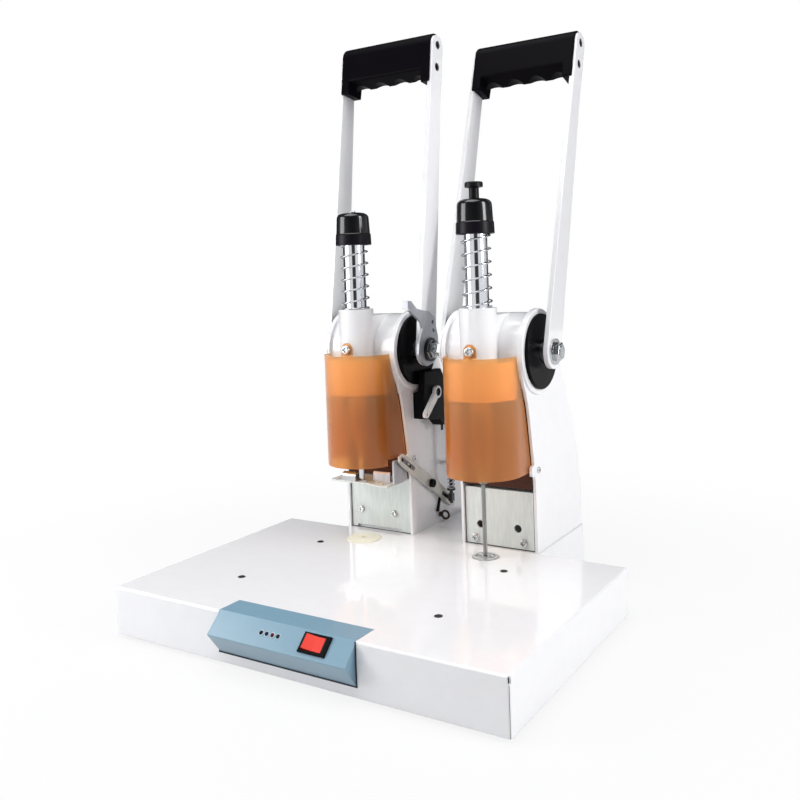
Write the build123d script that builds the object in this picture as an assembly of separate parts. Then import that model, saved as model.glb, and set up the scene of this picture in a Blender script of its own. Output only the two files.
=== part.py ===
from build123d import *
import os
from math import cos, sin, tan, radians, degrees, pi, sqrt, hypot, atan2

os.makedirs("parts", exist_ok=True)

# ---- driving dimensions (mm) -------------------------------------------------
TABLE_W = 420.0          # table width, left to right
TABLE_Y = 134.5          # half depth of the table
TABLE_H = 46.0           # folded cover height
FOOT_H = 4.0             # feet below the cover's lower edge
SHEET = 1.5              # cover gauge
TAIL_X0, TAIL_X1 = -125.0, 117.0   # rear plinth, left and right side
TAIL_Y = 262.0           # back of the rear plinth
FOLD_R = 2.4             # outer fold radius

COL_L, COL_R = -79.5, 71.4         # centre line of each column
CHEEK_X = 44.0           # half width over the cheeks
CHEEK_T = 3.0            # cheek gauge
PLATE_Y = 138.0          # front plane of the foot plates
PLATE_TOP = 108.0

ROD_Y = 102.7            # ram axis
ROD_D = 24.0
BOSS_D = 38.5            # vertical tube of the head
BOSS_Z0, BOSS_Z1 = 209.0, 302.0
SHAFT_Y, SHAFT_Z = 150.0, 254.0    # handle shaft axis
BARREL_R = 41.0
FLANGE_R = 44.5
DISC_R = 39.3
SHAFT_D = 16.0

RACK_MODULE = 2.0
PINION_TEETH = 28        # pitch radius 28 mm: 42 mm of stroke in 86 degrees
HANDLE_L = 360.0         # shaft to top of the arm
ARM_TOP_R = 11.9         # round end of each arm
ARM_GAP = 117.0          # between the arms
ARM_T = 5.0
ARM_SHIFT = -1.0         # the arms sit a little left of the column centre
LEAN_L, LEAN_R = 7.4, 16.6         # degrees the handles lean back at rest
CAP_Z_L, CAP_Z_R = 372.6, 376.8    # lower rim of each cap at rest
ROD_LOW_L, ROD_LOW_R = 191.6, 195.8        # lower end of each rod at rest
PIN_TRAVEL = 10.0        # push of the clearing pin

TIP = TABLE_H + 1.4      # drill tip at rest, just above the pad

# ---- clearances --------------------------------------------------------------
RUN = 0.05               # radial running fit
GAP = 0.3                # between pieces that only pass each other

Y_MID = 56.875           # origin under the middle of the bounding box
PITCH_R = RACK_MODULE * PINION_TEETH / 2


# ---- helpers -----------------------------------------------------------------
def blk(x0, x1, y0, y1, z0, z1):
    return Pos((x0 + x1) / 2, (y0 + y1) / 2, (z0 + z1) / 2) * Box(x1 - x0, y1 - y0, z1 - z0)


def cyl_z(x, y, z0, z1, r):
    return Pos(x, y, (z0 + z1) / 2) * Cylinder(r, z1 - z0)


def cyl_x(y, z, x0, x1, r):
    return Pos((x0 + x1) / 2, y, z) * Rot(0, 90, 0) * Cylinder(r, x1 - x0)


def cyl_y(x, z, y0, y1, r):
    return Pos(x, (y0 + y1) / 2, z) * Rot(90, 0, 0) * Cylinder(r, y1 - y0)


def ccw(pts):
    area = sum(a[0] * b[1] - b[0] * a[1] for a, b in zip(pts, pts[1:] + pts[:1]))
    return list(pts) if area > 0 else list(pts)[::-1]


def prism_x(pts, x0, x1):
    face = Plane.YZ.offset(x0) * Polygon(*ccw(list(pts)), align=None)
    return extrude(face, amount=x1 - x0)


def prism_z(pts, z0, z1):
    return extrude(Plane.XY.offset(z0) * Polygon(*ccw(list(pts)), align=None), amount=z1 - z0)


def turn_z(profile, x, y):
    """Body of revolution about a vertical axis from (radius, z) points."""
    face = Plane.XZ * Polygon(*profile, align=None)
    return Pos(x, y, 0) * revolve(face, Axis.Z)


def one(shape):
    solids = shape.solids()
    return solids[0] if len(solids) == 1 else Compound(children=list(solids))


def group(*shapes):
    found = []
    for s in shapes:
        found += list(s.solids())
    return Compound(children=found)


def save(name, shape):
    placed = Pos(0, -Y_MID, FOOT_H) * shape
    solids = placed.solids()
    out = solids[0] if len(solids) == 1 else Compound(children=list(solids))
    export_step(out, f"parts/{name}.step")
    print(name, len(solids), "solids", "valid" if all(s.is_valid for s in solids) else "INVALID")


def soften(shape, edges, radius):
    return fillet(edges, radius)


def hexagon_x(y, z, x0, x1, flats, turn=0):
    r = flats / 2 / cos(pi / 6)
    pts = [(y + r * cos(radians(60 * i + turn)), z + r * sin(radians(60 * i + turn))) for i in range(6)]
    return prism_x(pts, x0, x1)


def pan_screw_y(x, z, y_face, d_head, head_h, d_shank, length):
    """Cross-recessed pan screw whose head stands in front of y_face."""
    head = cyl_y(x, z, y_face - head_h, y_face, d_head / 2)
    head = soften(head, head.faces().sort_by(Axis.Y)[0].edges(), head_h * 0.45)
    head += cyl_y(x, z, y_face - 0.1, y_face + length, d_shank / 2)
    s, w = d_head * 0.27, d_head * 0.09
    head -= blk(x - s, x + s, y_face - head_h - 1, y_face - head_h * 0.45, z - w, z + w)
    head -= blk(x - w, x + w, y_face - head_h - 1, y_face - head_h * 0.45, z - s, z + s)
    return one(head)


def pan_screw_x(y, z, x_face, d_head, head_h, d_shank, length, side=1):
    """Cross-recessed pan screw, head on the +X side (side=1) or the -X side of x_face."""
    s = pan_screw_y(0, 0, 0, d_head, head_h, d_shank, length)
    return Pos(x_face, y, z) * Rot(0, 0, 90 * side) * s


# ---- base: cover, bottom plate, feet ------------------------------------------
def tee(inset):
    w, y = TABLE_W / 2 - inset, TABLE_Y - inset
    return [(-w, -y), (w, -y), (w, y), (TAIL_X1 - inset, y), (TAIL_X1 - inset, TAIL_Y - inset),
            (TAIL_X0 + inset, TAIL_Y - inset), (TAIL_X0 + inset, y), (-w, y)]


PANEL_X = 74.0
PANEL_BACK, PANEL_TOP_Y = -107.0, -132.0
PANEL_NOSE = (-150.0, 29.5)
PANEL_FOOT = 9.5
TABLE_SCREWS = [(-116.0, -58.0), (-116.0, 70.0), (107.5, 70.5), (107.5, -58.0)]
FEET = [(-185, -108), (185, -108), (-185, 108), (185, 108), (-95, 236), (88, 236)]
DIE_PAD_R, DRILL_PAD_R = 19.5, 13.8
DRILL_D = 4.4

cover = prism_z(tee(0), 0, TABLE_H)
cover = soften(cover, cover.edges().filter_by(Axis.Z), FOLD_R)
cover = soften(cover, cover.faces().sort_by(Axis.Z)[-1].edges(), FOLD_R)
cover -= prism_z(tee(SHEET), -1, TABLE_H - SHEET)
cover -= blk(-PANEL_X - GAP, PANEL_X + GAP, -TABLE_Y - 1, PANEL_BACK + GAP, PANEL_FOOT - GAP, TABLE_H + 1)
cover -= blk(TABLE_W / 2 - 2.2, TABLE_W / 2 + 1, -TABLE_Y - 1, -TABLE_Y + 2.2, TABLE_H - 5.5, TABLE_H + 1)
for x, y in TABLE_SCREWS:
    cover -= cyl_z(x, y, TABLE_H - 3, TABLE_H + 1, 2.1)
cover -= cyl_z(COL_L, ROD_Y, TABLE_H - 3, TABLE_H + 1, DIE_PAD_R - 3)
cover -= cyl_z(COL_R, ROD_Y, TABLE_H - 3, TABLE_H + 1, DRILL_PAD_R - 3)
cover -= blk(-14, 14, TAIL_Y - 3, TAIL_Y + 1, 11.8, 32.2)
for i in range(5):                                     # air slots under the rear edge
    x = 58 + i * 9
    cover -= blk(x - 1.5, x + 1.5, TAIL_Y - 3, TAIL_Y + 1, 12, 34)
save("base_cover", one(cover))

plate_pts = tee(SHEET + 0.4)
bottom = prism_z(plate_pts, 0.6, 2.2)
bottom += blk(-204, 204, -TABLE_Y + 1.9, -TABLE_Y + 3.4, 2.1, 8.0)
for x, y in FEET:
    bottom -= cyl_z(x, y, 0, 3, 2.6)
for i in range(6):
    x = -150 + i * 12
    bottom -= blk(x - 2, x + 2, -20, 20, 0, 3)
save("bottom_plate", one(bottom))

feet = []
for x, y in FEET:
    f = turn_z([(0, 3.9), (2.2, 3.9), (3.3, 2.6), (3.3, 2.25), (2.55, 2.2), (2.55, 0.6), (10.5, 0.6),
                (9.0, -FOOT_H), (5.2, -FOOT_H), (4.6, -2.6), (0, -2.6)], x, y)
    feet.append(f)
save("feet", group(*feet))

screws = []
for x, y in TABLE_SCREWS:
    s = turn_z([(0, TABLE_H + 1.3), (1.9, TABLE_H + 1.15), (3.6, TABLE_H + 0.5), (3.7, TABLE_H),
                (2.0, TABLE_H), (2.0, TABLE_H - 9), (0, TABLE_H - 9)], x, y)
    s -= blk(x - 2.1, x + 2.1, y - 0.4, y + 0.4, TABLE_H + 0.4, TABLE_H + 2)
    s -= blk(x - 0.4, x + 0.4, y - 2.1, y + 2.1, TABLE_H + 0.4, TABLE_H + 2)
    screws.append(one(s))
save("table_screws", group(*screws))

# ---- control panel -------------------------------------------------------------
outer = [(PANEL_BACK, TABLE_H + 0.2), (PANEL_TOP_Y, TABLE_H + 0.2), PANEL_NOSE,
         (-TABLE_Y - 0.2, PANEL_FOOT), (PANEL_BACK, PANEL_FOOT)]
panel = prism_x(outer, -PANEL_X, PANEL_X)
long_edges = [e for e in panel.edges().filter_by(Axis.X) if e.center().Y < -131]
panel = soften(panel, long_edges, 1.0)
inner = [(PANEL_BACK + 2, TABLE_H - 1.8), (PANEL_TOP_Y + 0.9, TABLE_H - 1.8), (-147.2, 29.4),
         (-TABLE_Y + 0.9, PANEL_FOOT + 2), (PANEL_BACK + 2, PANEL_FOOT + 2)]
panel -= prism_x(inner, -PANEL_X + 2, PANEL_X - 2)

slope_len = hypot(PANEL_NOSE[0] - PANEL_TOP_Y, PANEL_NOSE[1] - TABLE_H - 0.2)
slope_mid = ((PANEL_NOSE[0] + PANEL_TOP_Y) / 2, (PANEL_NOSE[1] + TABLE_H + 0.2) / 2)
sy_, sz_ = (PANEL_TOP_Y - PANEL_NOSE[0]) / slope_len, (TABLE_H + 0.2 - PANEL_NOSE[1]) / slope_len
slope = Plane(origin=(0, slope_mid[0], slope_mid[1]), x_dir=(1, 0, 0), z_dir=(0, -sz_, sy_))
LED_X = [-19.2, -13.1, -7.0, -0.9]
ROCKER_X, ROCKER_U = 38.2, 0.9


def on_slope(shape, x, u, h=0.0):
    return slope * Pos(x, u, h) * shape


for x in LED_X:
    panel -= on_slope(Cylinder(1.65, 12), x, 0.5)
panel -= on_slope(Box(25.6, 15.6, 12), ROCKER_X, ROCKER_U)
save("control_panel", one(panel))

leds = []
for x in LED_X:
    led = Pos(0, 0, -2.4) * Cylinder(1.5, 5.2) + Pos(0, 0, 0.2) * Sphere(1.5)
    led += Pos(0, 0, -4.6) * Cylinder(1.9, 0.8)
    leds.append(on_slope(one(led), x, 0.5))
save("status_leds", group(*leds))

bezel = Pos(0, 0, 1.0) * Box(27.6, 17.4, 2.0)
bezel = soften(bezel, bezel.faces().sort_by(Axis.Z)[-1].edges(), 0.8)
bezel += Pos(0, 0, -5) * Box(25.2, 15.2, 10.2)
bezel -= Pos(0, 0, 0) * Box(22.0, 13.2, 16.6)
bezel += Pos(0, 0, -9.3) * Box(25.2, 15.2, 1.6)
for x in (-7, 0, 7):
    bezel += Pos(x, 0, -13) * Box(0.8, 4.8, 7)
save("rocker_frame", on_slope(one(bezel), ROCKER_X, ROCKER_U))

ROCKER_TILT = 9.0        # degrees, right end down at rest
key = extrude(Plane.XZ * Polygon((-10.6, 0.6), (-10.6, 3.0), (0, 1.5), (10.6, 3.0), (10.6, 0.6),
                                 (3.2, -4.4), (-3.2, -4.4), align=None), amount=6.3, both=True)
key = soften(key, [e for e in key.edges().filter_by(Axis.Y) if e.center().Z > 2], 0.9)
key = key + Rot(90, 0, 0) * Cylinder(1.2, 13.1)
key = Rot(0, ROCKER_TILT, 0) * key
save("rocker_key", on_slope(one(key), ROCKER_X, ROCKER_U, 0.6))

# ---- inside the base -------------------------------------------------------------
core = blk(-30, 30, -45, 5, 2.2, 6.2) + blk(-30, 30, -44, 4, 6.1, 38)
core = core - blk(-18, -14, -46, 6, 12, 33) - blk(14, 18, -46, 6, 12, 33)
coil = blk(-24, 24, -50, -44.0, 9, 35) + blk(-24, 24, 4.0, 10, 9, 35)
coil = soften(coil, coil.edges().filter_by(Axis.Z), 2.0)
save("transformer", Pos(-110, 20, 0) * group(one(core), coil))

INLET_DEEP = 20.0        # depth of the plug well
inlet = blk(-15.5, 15.5, TAIL_Y, TAIL_Y + 1.4, 10, 34)
inlet = soften(inlet, inlet.edges().filter_by(Axis.Y), 2.5)
inlet += blk(-13.6, 13.6, TAIL_Y - INLET_DEEP - 3, TAIL_Y + 0.2, 12.2, 31.8)
inlet -= blk(-11.5, 11.5, TAIL_Y - INLET_DEEP, TAIL_Y + 2, 14.2, 29.8)
for x, z in ((-5, 20), (5, 20), (0, 25)):                               # contact blades, well recessed
    inlet += blk(x - 1, x + 1, TAIL_Y - INLET_DEEP - 1, TAIL_Y - INLET_DEEP + 8, z - 2, z + 2)
save("mains_inlet", one(inlet))

die_pad = turn_z([(0, TABLE_H + 1.3), (4.0, TABLE_H + 1.3), (5.0, TABLE_H + 1.0),
                  (DIE_PAD_R - 1.2, TABLE_H + 1.0),
                  (DIE_PAD_R, TABLE_H + 0.3), (DIE_PAD_R, TABLE_H), (DIE_PAD_R - 3.3, TABLE_H),
                  (DIE_PAD_R - 3.3, TABLE_H - 8), (0, TABLE_H - 8)], COL_L, ROD_Y)
die_pad -= turn_z([(1.2, TABLE_H + 2), (3.4, TABLE_H + 2), (2.6, TABLE_H + 0.2), (1.8, TABLE_H + 0.2)],
                  COL_L, ROD_Y)
die_pad -= cyl_z(COL_L + DIE_PAD_R - 2.4, ROD_Y, TABLE_H + 0.2, TABLE_H + 2, 0.9)
save("rivet_die_pad", one(die_pad))

bore = DRILL_D / 2 + 0.4
pad = turn_z([(bore, TABLE_H + 0.9), (4.6, TABLE_H + 0.9), (4.9, TABLE_H + 0.4), (9.7, TABLE_H + 0.4),
              (10.0, TABLE_H + 1.1), (DRILL_PAD_R - 0.6, TABLE_H + 1.1), (DRILL_PAD_R, TABLE_H + 0.6),
              (DRILL_PAD_R, TABLE_H), (DRILL_PAD_R - 3.4, TABLE_H), (DRILL_PAD_R - 3.4, TABLE_H - 7),
              (bore, TABLE_H - 7)], COL_R, ROD_Y)
for i in range(6):
    a = radians(60 * i)
    at = Pos(COL_R + 7.3 * cos(a), ROD_Y + 7.3 * sin(a), TABLE_H + 0.7)
    pad += at * Rot(0, 0, 60 * i) * Box(5.6, 1.4, 0.9)
save("drill_pad", one(pad))

# ---- columns ---------------------------------------------------------------------
FRONT = [(106.2, 262), (106.0, 250), (108.8, 235), (115.5, 218), (121.8, 201), (126.0, 180),
         (129.6, 158), (132.6, 138), (134.6, 120), (135.0, 108)]
BACK = [(190.2, 274), (200.5, 250), (213.0, 225), (228.5, 192), (245.0, 156), (255.0, 119), (259.0, 80)]


def cheek_face():
    """Side outline of a column in (y, z)."""
    with BuildSketch(Plane.YZ) as sk:
        with BuildLine():
            a = Spline(*FRONT)
            b = Line(a @ 1, (135.0, TABLE_H))
            c = Line(b @ 1, (259.5, TABLE_H))
            d = Line(c @ 1, (259.5, 80))
            e = Spline(*( [(259.5, 80)] + BACK[::-1][1:] ))
            t = ThreePointArc(e @ 1, (SHAFT_Y - 2, SHAFT_Z + FLANGE_R), a @ 0)
        make_face()
    return sk.sketch


def front_y(z):
    """Front edge of the cheek at height z (straight between the listed points)."""
    pts = sorted(FRONT, key=lambda p: p[1])
    if z <= pts[0][1]:
        return pts[0][0]
    for (y0, z0), (y1, z1) in zip(pts, pts[1:]):
        if z0 <= z <= z1:
            return y0 + (y1 - y0) * (z - z0) / (z1 - z0)
    return pts[-1][0]


SIDE_SCREW = (142.5, 131.5)


L_SCREWS = [(-26.7, 68.1), (18.2, 67.3)]
R_SCREWS = [(-29.0, 53.6), (27.2, 53.7)]


def column(xc, name, rows):
    face = cheek_face()
    tab = [(133.0, 125.5), (127.0, 127.5), (126.2, 136.5), (133.5, 138.5)]
    parts = []
    for sgn in (-1, 1):
        x0 = xc + sgn * CHEEK_X - (CHEEK_T if sgn > 0 else 0)
        sheet = extrude(face, amount=CHEEK_T)
        sheet = Pos(x0, 0, 0) * sheet
        sheet += prism_x([(y, z) for y, z in tab], x0, x0 + CHEEK_T)
        parts.append(sheet)
    body = parts[0] + parts[1]
    x0, x1 = xc - CHEEK_X, xc + CHEEK_X
    rear = [(259.5, TABLE_H), (259.5, 80)] + BACK[::-1][1:-1]             # back wall follows the outline
    body += prism_x(rear + [(y - CHEEK_T, max(z - 0.6, TABLE_H)) for y, z in rear[::-1]], x0 + 1, x1 - 1)
    body += blk(x0 + 1, x1 - 1, 141, 257, TABLE_H, TABLE_H + 3)        # foot web
    body -= cyl_x(SHAFT_Y, SHAFT_Z, x0 - 5, x1 + 5, BARREL_R)           # seat of the head barrel
    for sgn in (-1, 1):                                                 # tabs behind the foot plate
        xi = xc + sgn * (CHEEK_X - CHEEK_T)
        for dx, z in rows:
            if dx * sgn > 0:
                xe = xc + dx - sgn * 5
                span = sorted((xi + sgn * 0.5, xe))
                body += blk(span[0], span[1], PLATE_Y + 2, PLATE_Y + 4.6, z - 5, z + 8)
                body -= cyl_y(xc + dx, z, PLATE_Y, PLATE_Y + 6, 2.0)
    for x in (x0, x1):
        body -= cyl_x(SIDE_SCREW[0], SIDE_SCREW[1], x - 4, x + 4, 2.0)
    for dx in (-28, 28):
        for y in (165, 235):
            body -= cyl_z(xc + dx, y, TABLE_H - 1, TABLE_H + 4, 3.2)
    if xc < 0:                                                          # cutter linkage side
        body += blk(x1 - 0.5, x1 + 16.0, 200.0, 214.0, 113.0, 115.2)
        body -= cyl_z(x1 + 10.5, 206.95, 112, 117, 2.05)
        body -= cyl_x(170.3, 98.1, x1 - 5, x1 + 1, 3.0)
    body = one(body)
    save(name, body)
    return body


column(COL_L, "column_left", L_SCREWS)
column(COL_R, "column_right", R_SCREWS)

bolts = []
for xc in (COL_L, COL_R):
    for dx in (-28, 28):
        for y in (165, 235):
            b = extrude(Plane.XY.offset(TABLE_H + 3) * Pos(xc + dx, y) * RegularPolygon(5.8, 6), amount=4)
            b += cyl_z(xc + dx, y, TABLE_H - 9, TABLE_H + 3.1, 2.95)
            bolts.append(one(b))
save("column_bolts", group(*bolts))
# the cover is drilled for the column bolts in the same pattern
for xc in (COL_L, COL_R):
    for dx in (-28, 28):
        for y in (165, 235):
            cover -= cyl_z(xc + dx, y, TABLE_H - 3, TABLE_H + 1, 3.2)
save("base_cover", one(cover))

# ---- heads: ram tube, barrel, bearing end walls ------------------------------------


def head(xc, name):
    """Cast head: vertical ram tube joined to the horizontal barrel that holds the pinion."""
    x0, x1 = xc - CHEEK_X, xc + CHEEK_X
    body = cyl_x(SHAFT_Y, SHAFT_Z, x0, x1, BARREL_R - 0.0)
    body += cyl_z(xc, ROD_Y, BOSS_Z0, BOSS_Z1, BOSS_D / 2)
    body += prism_x([(ROD_Y, SHAFT_Z - 36), (ROD_Y, SHAFT_Z + 40.2), (SHAFT_Y, SHAFT_Z + BARREL_R),
                     (SHAFT_Y, SHAFT_Z - 38)], xc - BOSS_D / 2 + 1.5, xc + BOSS_D / 2 - 1.5)
    for sgn in (-1, 1):                                   # end flanges outside the cheeks
        xa, xb = (x1, x1 + 2.6) if sgn > 0 else (x0 - 2.6, x0)
        rim = cyl_x(SHAFT_Y, SHAFT_Z, xa, xb, FLANGE_R)
        outer_face = rim.faces().sort_by(Axis.X)[-1 if sgn > 0 else 0]
        rim = soften(rim, outer_face.edges(), 1.1)
        body += rim
    body -= cyl_x(SHAFT_Y, SHAFT_Z, x0 + 5, x1 - 5, 33.0)               # pinion chamber
    body -= cyl_x(SHAFT_Y, SHAFT_Z, x0 - 6, x1 + 6, SHAFT_D / 2 + RUN)  # shaft bearings
    body -= cyl_z(xc, ROD_Y, BOSS_Z0 - 2, BOSS_Z1 + 2, ROD_D / 2 + RUN) # ram bore
    body -= blk(xc - 5.4, xc + 5.4, ROD_Y + 6, ROD_Y + 22.6, BOSS_Z0 - 2, BOSS_Z1 + 2)  # rack slot
    body -= cyl_y(xc, 258.6, ROD_Y - BOSS_D / 2 - 1, ROD_Y - BOSS_D / 2 + 4.4, 2.05)
    save(name, one(body))


head(COL_L, "head_left")
head(COL_R, "head_right")

discs = []
for xc in (COL_L, COL_R):
    for sgn in (-1, 1):
        xf = xc + sgn * (CHEEK_X + 2.6)
        xa, xb = (xf, xf + 3.4) if sgn > 0 else (xf - 3.4, xf)
        d = cyl_x(SHAFT_Y, SHAFT_Z, xa, xb, DISC_R)
        d = soften(d, d.faces().sort_by(Axis.X)[-1 if sgn > 0 else 0].edges(), 1.2)
        d -= cyl_x(SHAFT_Y, SHAFT_Z, xa - 1, xb + 1, 12.0)
        discs.append(one(d))
save("barrel_discs", group(*discs))

# ---- foot plates -------------------------------------------------------------------
P_HALF = CHEEK_X - CHEEK_T - 0.3


def foot_plate(xc, name, holes, notch):
    p = blk(xc - P_HALF, xc + P_HALF, PLATE_Y, PLATE_Y + 2, TABLE_H + 0.3, PLATE_TOP)
    p = soften(p, [e for e in p.edges().filter_by(Axis.Y) if e.center().Z < TABLE_H + 2], 3.0)
    p += blk(xc - P_HALF, xc + P_HALF, PLATE_Y, PLATE_Y + 14, PLATE_TOP - 2, PLATE_TOP)
    p -= blk(xc - P_HALF - 1, xc - 33, PLATE_Y + 3, PLATE_Y + 15, PLATE_TOP - 3, PLATE_TOP + 1)
    p -= blk(xc + 33, xc + P_HALF + 1, PLATE_Y + 3, PLATE_Y + 15, PLATE_TOP - 3, PLATE_TOP + 1)
    for dx, z, r in holes:
        p -= cyl_y(xc + dx, z, PLATE_Y - 1, PLATE_Y + 4, r)
    if notch:
        p -= blk(xc - 33, xc + 27.5, PLATE_Y - 1, PLATE_Y + 3, TABLE_H - 1, TABLE_H + 3.6)
    save(name, one(p))


foot_plate(COL_L, "foot_plate_left", [(dx, z, 2.1) for dx, z in L_SCREWS], True)
foot_plate(COL_R, "foot_plate_right",
           [(dx, z, 2.1) for dx, z in R_SCREWS] + [(-23.1, 68.3, 4.0), (20.8, 68.3, 4.1)], False)
screws = [pan_screw_y(COL_L + dx, z, PLATE_Y, 7.6, 2.4, 4.0, 8.0) for dx, z in L_SCREWS]
screws += [pan_screw_y(COL_R + dx, z, PLATE_Y, 8.8, 3.0, 4.0, 8.0) for dx, z in R_SCREWS]
screws += [pan_screw_y(xc, 258.6, ROD_Y - BOSS_D / 2 - 1.5, 10.4, 3.6, 4.0, 5.2) for xc in (COL_L, COL_R)]
for xc in (COL_L, COL_R):
    for sgn in (-1, 1):
        screws.append(pan_screw_x(SIDE_SCREW[0], SIDE_SCREW[1], xc + sgn * CHEEK_X, 6.4, 1.8, 4.0, 7.0, sgn))
save("pan_screws", group(*screws))

# ---- shields -------------------------------------------------------------------------
SH_R, SH_Y, SH_T = 40.0, 108.0, 2.0
SH_Z0, SH_Z1 = 131.0, 252.5


def shield(xc, name, notch):
    """Half-round guard whose rear edges follow the front edge of the cheeks."""
    tube = cyl_z(xc, SH_Y, SH_Z0, SH_Z1, SH_R)
    wall = tube + blk(xc - SH_R, xc + SH_R, SH_Y, 150, SH_Z0, SH_Z1)
    wall -= cyl_z(xc, SH_Y, SH_Z0 - 1, SH_Z1 + 1, SH_R - SH_T)
    wall -= blk(xc - SH_R + SH_T, xc + SH_R - SH_T, SH_Y, 152, SH_Z0 - 1, SH_Z1 + 1)
    zs = [SH_Z0 - 2 + i * (SH_Z1 + 4 - SH_Z0) / 14 for i in range(15)]
    rear = [(front_y(z) - 0.35, z) for z in zs]
    wall -= prism_x(rear + [(170, zs[-1]), (170, zs[0])], xc - 60, xc + 60)
    if notch:                                            # clears the cutter slide
        wall -= blk(xc + SH_R - 4, xc + SH_R + 2, 97, 150, SH_Z0 - 1, SH_Z0 + 7)
    y_front = ROD_Y - BOSS_D / 2
    wall += blk(xc - 7, xc + 7, SH_Y - SH_R + 0.6, y_front - 0.0, SH_Z1 - 1.6, SH_Z1)
    wall += blk(xc - 7, xc + 7, y_front - 1.5, y_front - 0.02, SH_Z1 - 1.6, 260) \
        + cyl_y(xc, 259.0, y_front - 1.5, y_front - 0.02, 7.0)
    wall -= cyl_y(xc, 258.6, y_front - 3, y_front + 1, 2.1)
    wall -= cyl_z(xc, ROD_Y, SH_Z1 - 20, SH_Z1 + 20, BOSS_D / 2 + 0.02)
    save(name, one(wall))


shield(COL_L, "shield_left", True)
shield(COL_R, "shield_right", False)

# ---- handle shafts, pinions, arms, grips ------------------------------------------------


def tooth_ring(module, teeth):
    """Polygon of a straight-sided gear in (u, v), a tooth gap centred on +u at phase 0."""
    rp = module * teeth / 2
    ra, rf = rp + module * 0.92, rp - module * 1.25
    pts = []
    for i in range(teeth):
        c = 2 * pi * (i + 0.5) / teeth
        for r, k in ((rf, -0.37), (rp, -0.238), (ra, -0.125), (ra, 0.125), (rp, 0.238), (rf, 0.37)):
            a = c + k * 2 * pi / teeth
            pts.append((r * cos(a), r * sin(a)))
    return pts


def rack_points(module, z0, z1, y_back, y_pitch, z_ref):
    """Rack outline in (y, z); teeth point to +Y, one tooth centred on z_ref."""
    p = pi * module
    ya, yf = y_pitch + module * 0.92, y_pitch - module * 1.25
    pts = [(y_back, z0), (yf, z0)]
    n = int((z0 - z_ref) / p) - 2
    while z_ref + n * p < z1 + p:
        c = z_ref + n * p
        tooth = [(yf, c - 0.37 * p), (y_pitch, c - 0.238 * p), (ya, c - 0.125 * p), (ya, c + 0.125 * p),
                 (y_pitch, c + 0.238 * p), (yf, c + 0.37 * p)]
        if c - 0.37 * p > z0 + 0.2 and c + 0.37 * p < z1 - 0.2:
            pts += tooth
        n += 1
    pts += [(yf, z1), (y_back, z1)]
    return pts


def tilt(shape, lean):
    """Turn a piece drawn with an upright handle to its rest lean about the shaft."""
    return Pos(0, SHAFT_Y, SHAFT_Z) * Rot(-lean, 0, 0) * Pos(0, -SHAFT_Y, -SHAFT_Z) * shape


TOP_V = HANDLE_L - ARM_TOP_R       # centre of the arm's round end, up from the shaft
GRIP_HOLES = [(1.0, TOP_V + 0.5), (1.0, TOP_V - 25.1)]
GRIP_FRONT = -13.2                 # flat front face of the grip
GRIP_END = 2.6                     # grip beyond the inner face of each arm
BORE_R, BORE_DEEP = 4.7, 3.7       # counterbore for a grip screw
SCREW_HEAD_R = 4.35


def arm_head():
    """Wide upper end of an arm, also the pocket that takes it."""
    return Polygon((-11, TOP_V - 43), (12.8, TOP_V - 43), (12.8, TOP_V), (-11, TOP_V), align=None) \
        + Pos(0.9, TOP_V) * Circle(ARM_TOP_R)


def arm_face():
    return Circle(18) + Polygon((-17.8, 2), (17.8, 2), (10.9, TOP_V - 37), (-11, TOP_V - 37), align=None) \
        + arm_head()


def grip_section():
    """Flat front, round top, and an underside that slopes back from the front ridge."""
    with BuildSketch() as sk:
        with BuildLine():
            Line((GRIP_FRONT, TOP_V - 29.3), (GRIP_FRONT, TOP_V))
            ThreePointArc((GRIP_FRONT, TOP_V), (0.9, TOP_V + 14.1), (15.0, TOP_V))
            Line((15.0, TOP_V), (15.0, TOP_V - 26))
            Line((15.0, TOP_V - 26), (6.5, TOP_V - 37.5))
            Line((6.5, TOP_V - 37.5), (GRIP_FRONT, TOP_V - 29.3))
        make_face()
        fillet(sk.vertices().sort_by(Axis.Y)[:3], 3.4)
    return sk.sketch


def lug_section():
    """End of the grip that reaches down over the arm."""
    with BuildSketch() as sk:
        with BuildLine():
            Polyline((GRIP_FRONT, TOP_V - 44.5), (14.0, TOP_V - 44.5), (15.0, TOP_V - 30), (15.0, TOP_V - 8),
                     (GRIP_FRONT, TOP_V - 8), close=True)
        make_face()
        fillet(sk.vertices().sort_by(Axis.Y)[:2], 1.6)
    return sk.sketch


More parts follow.
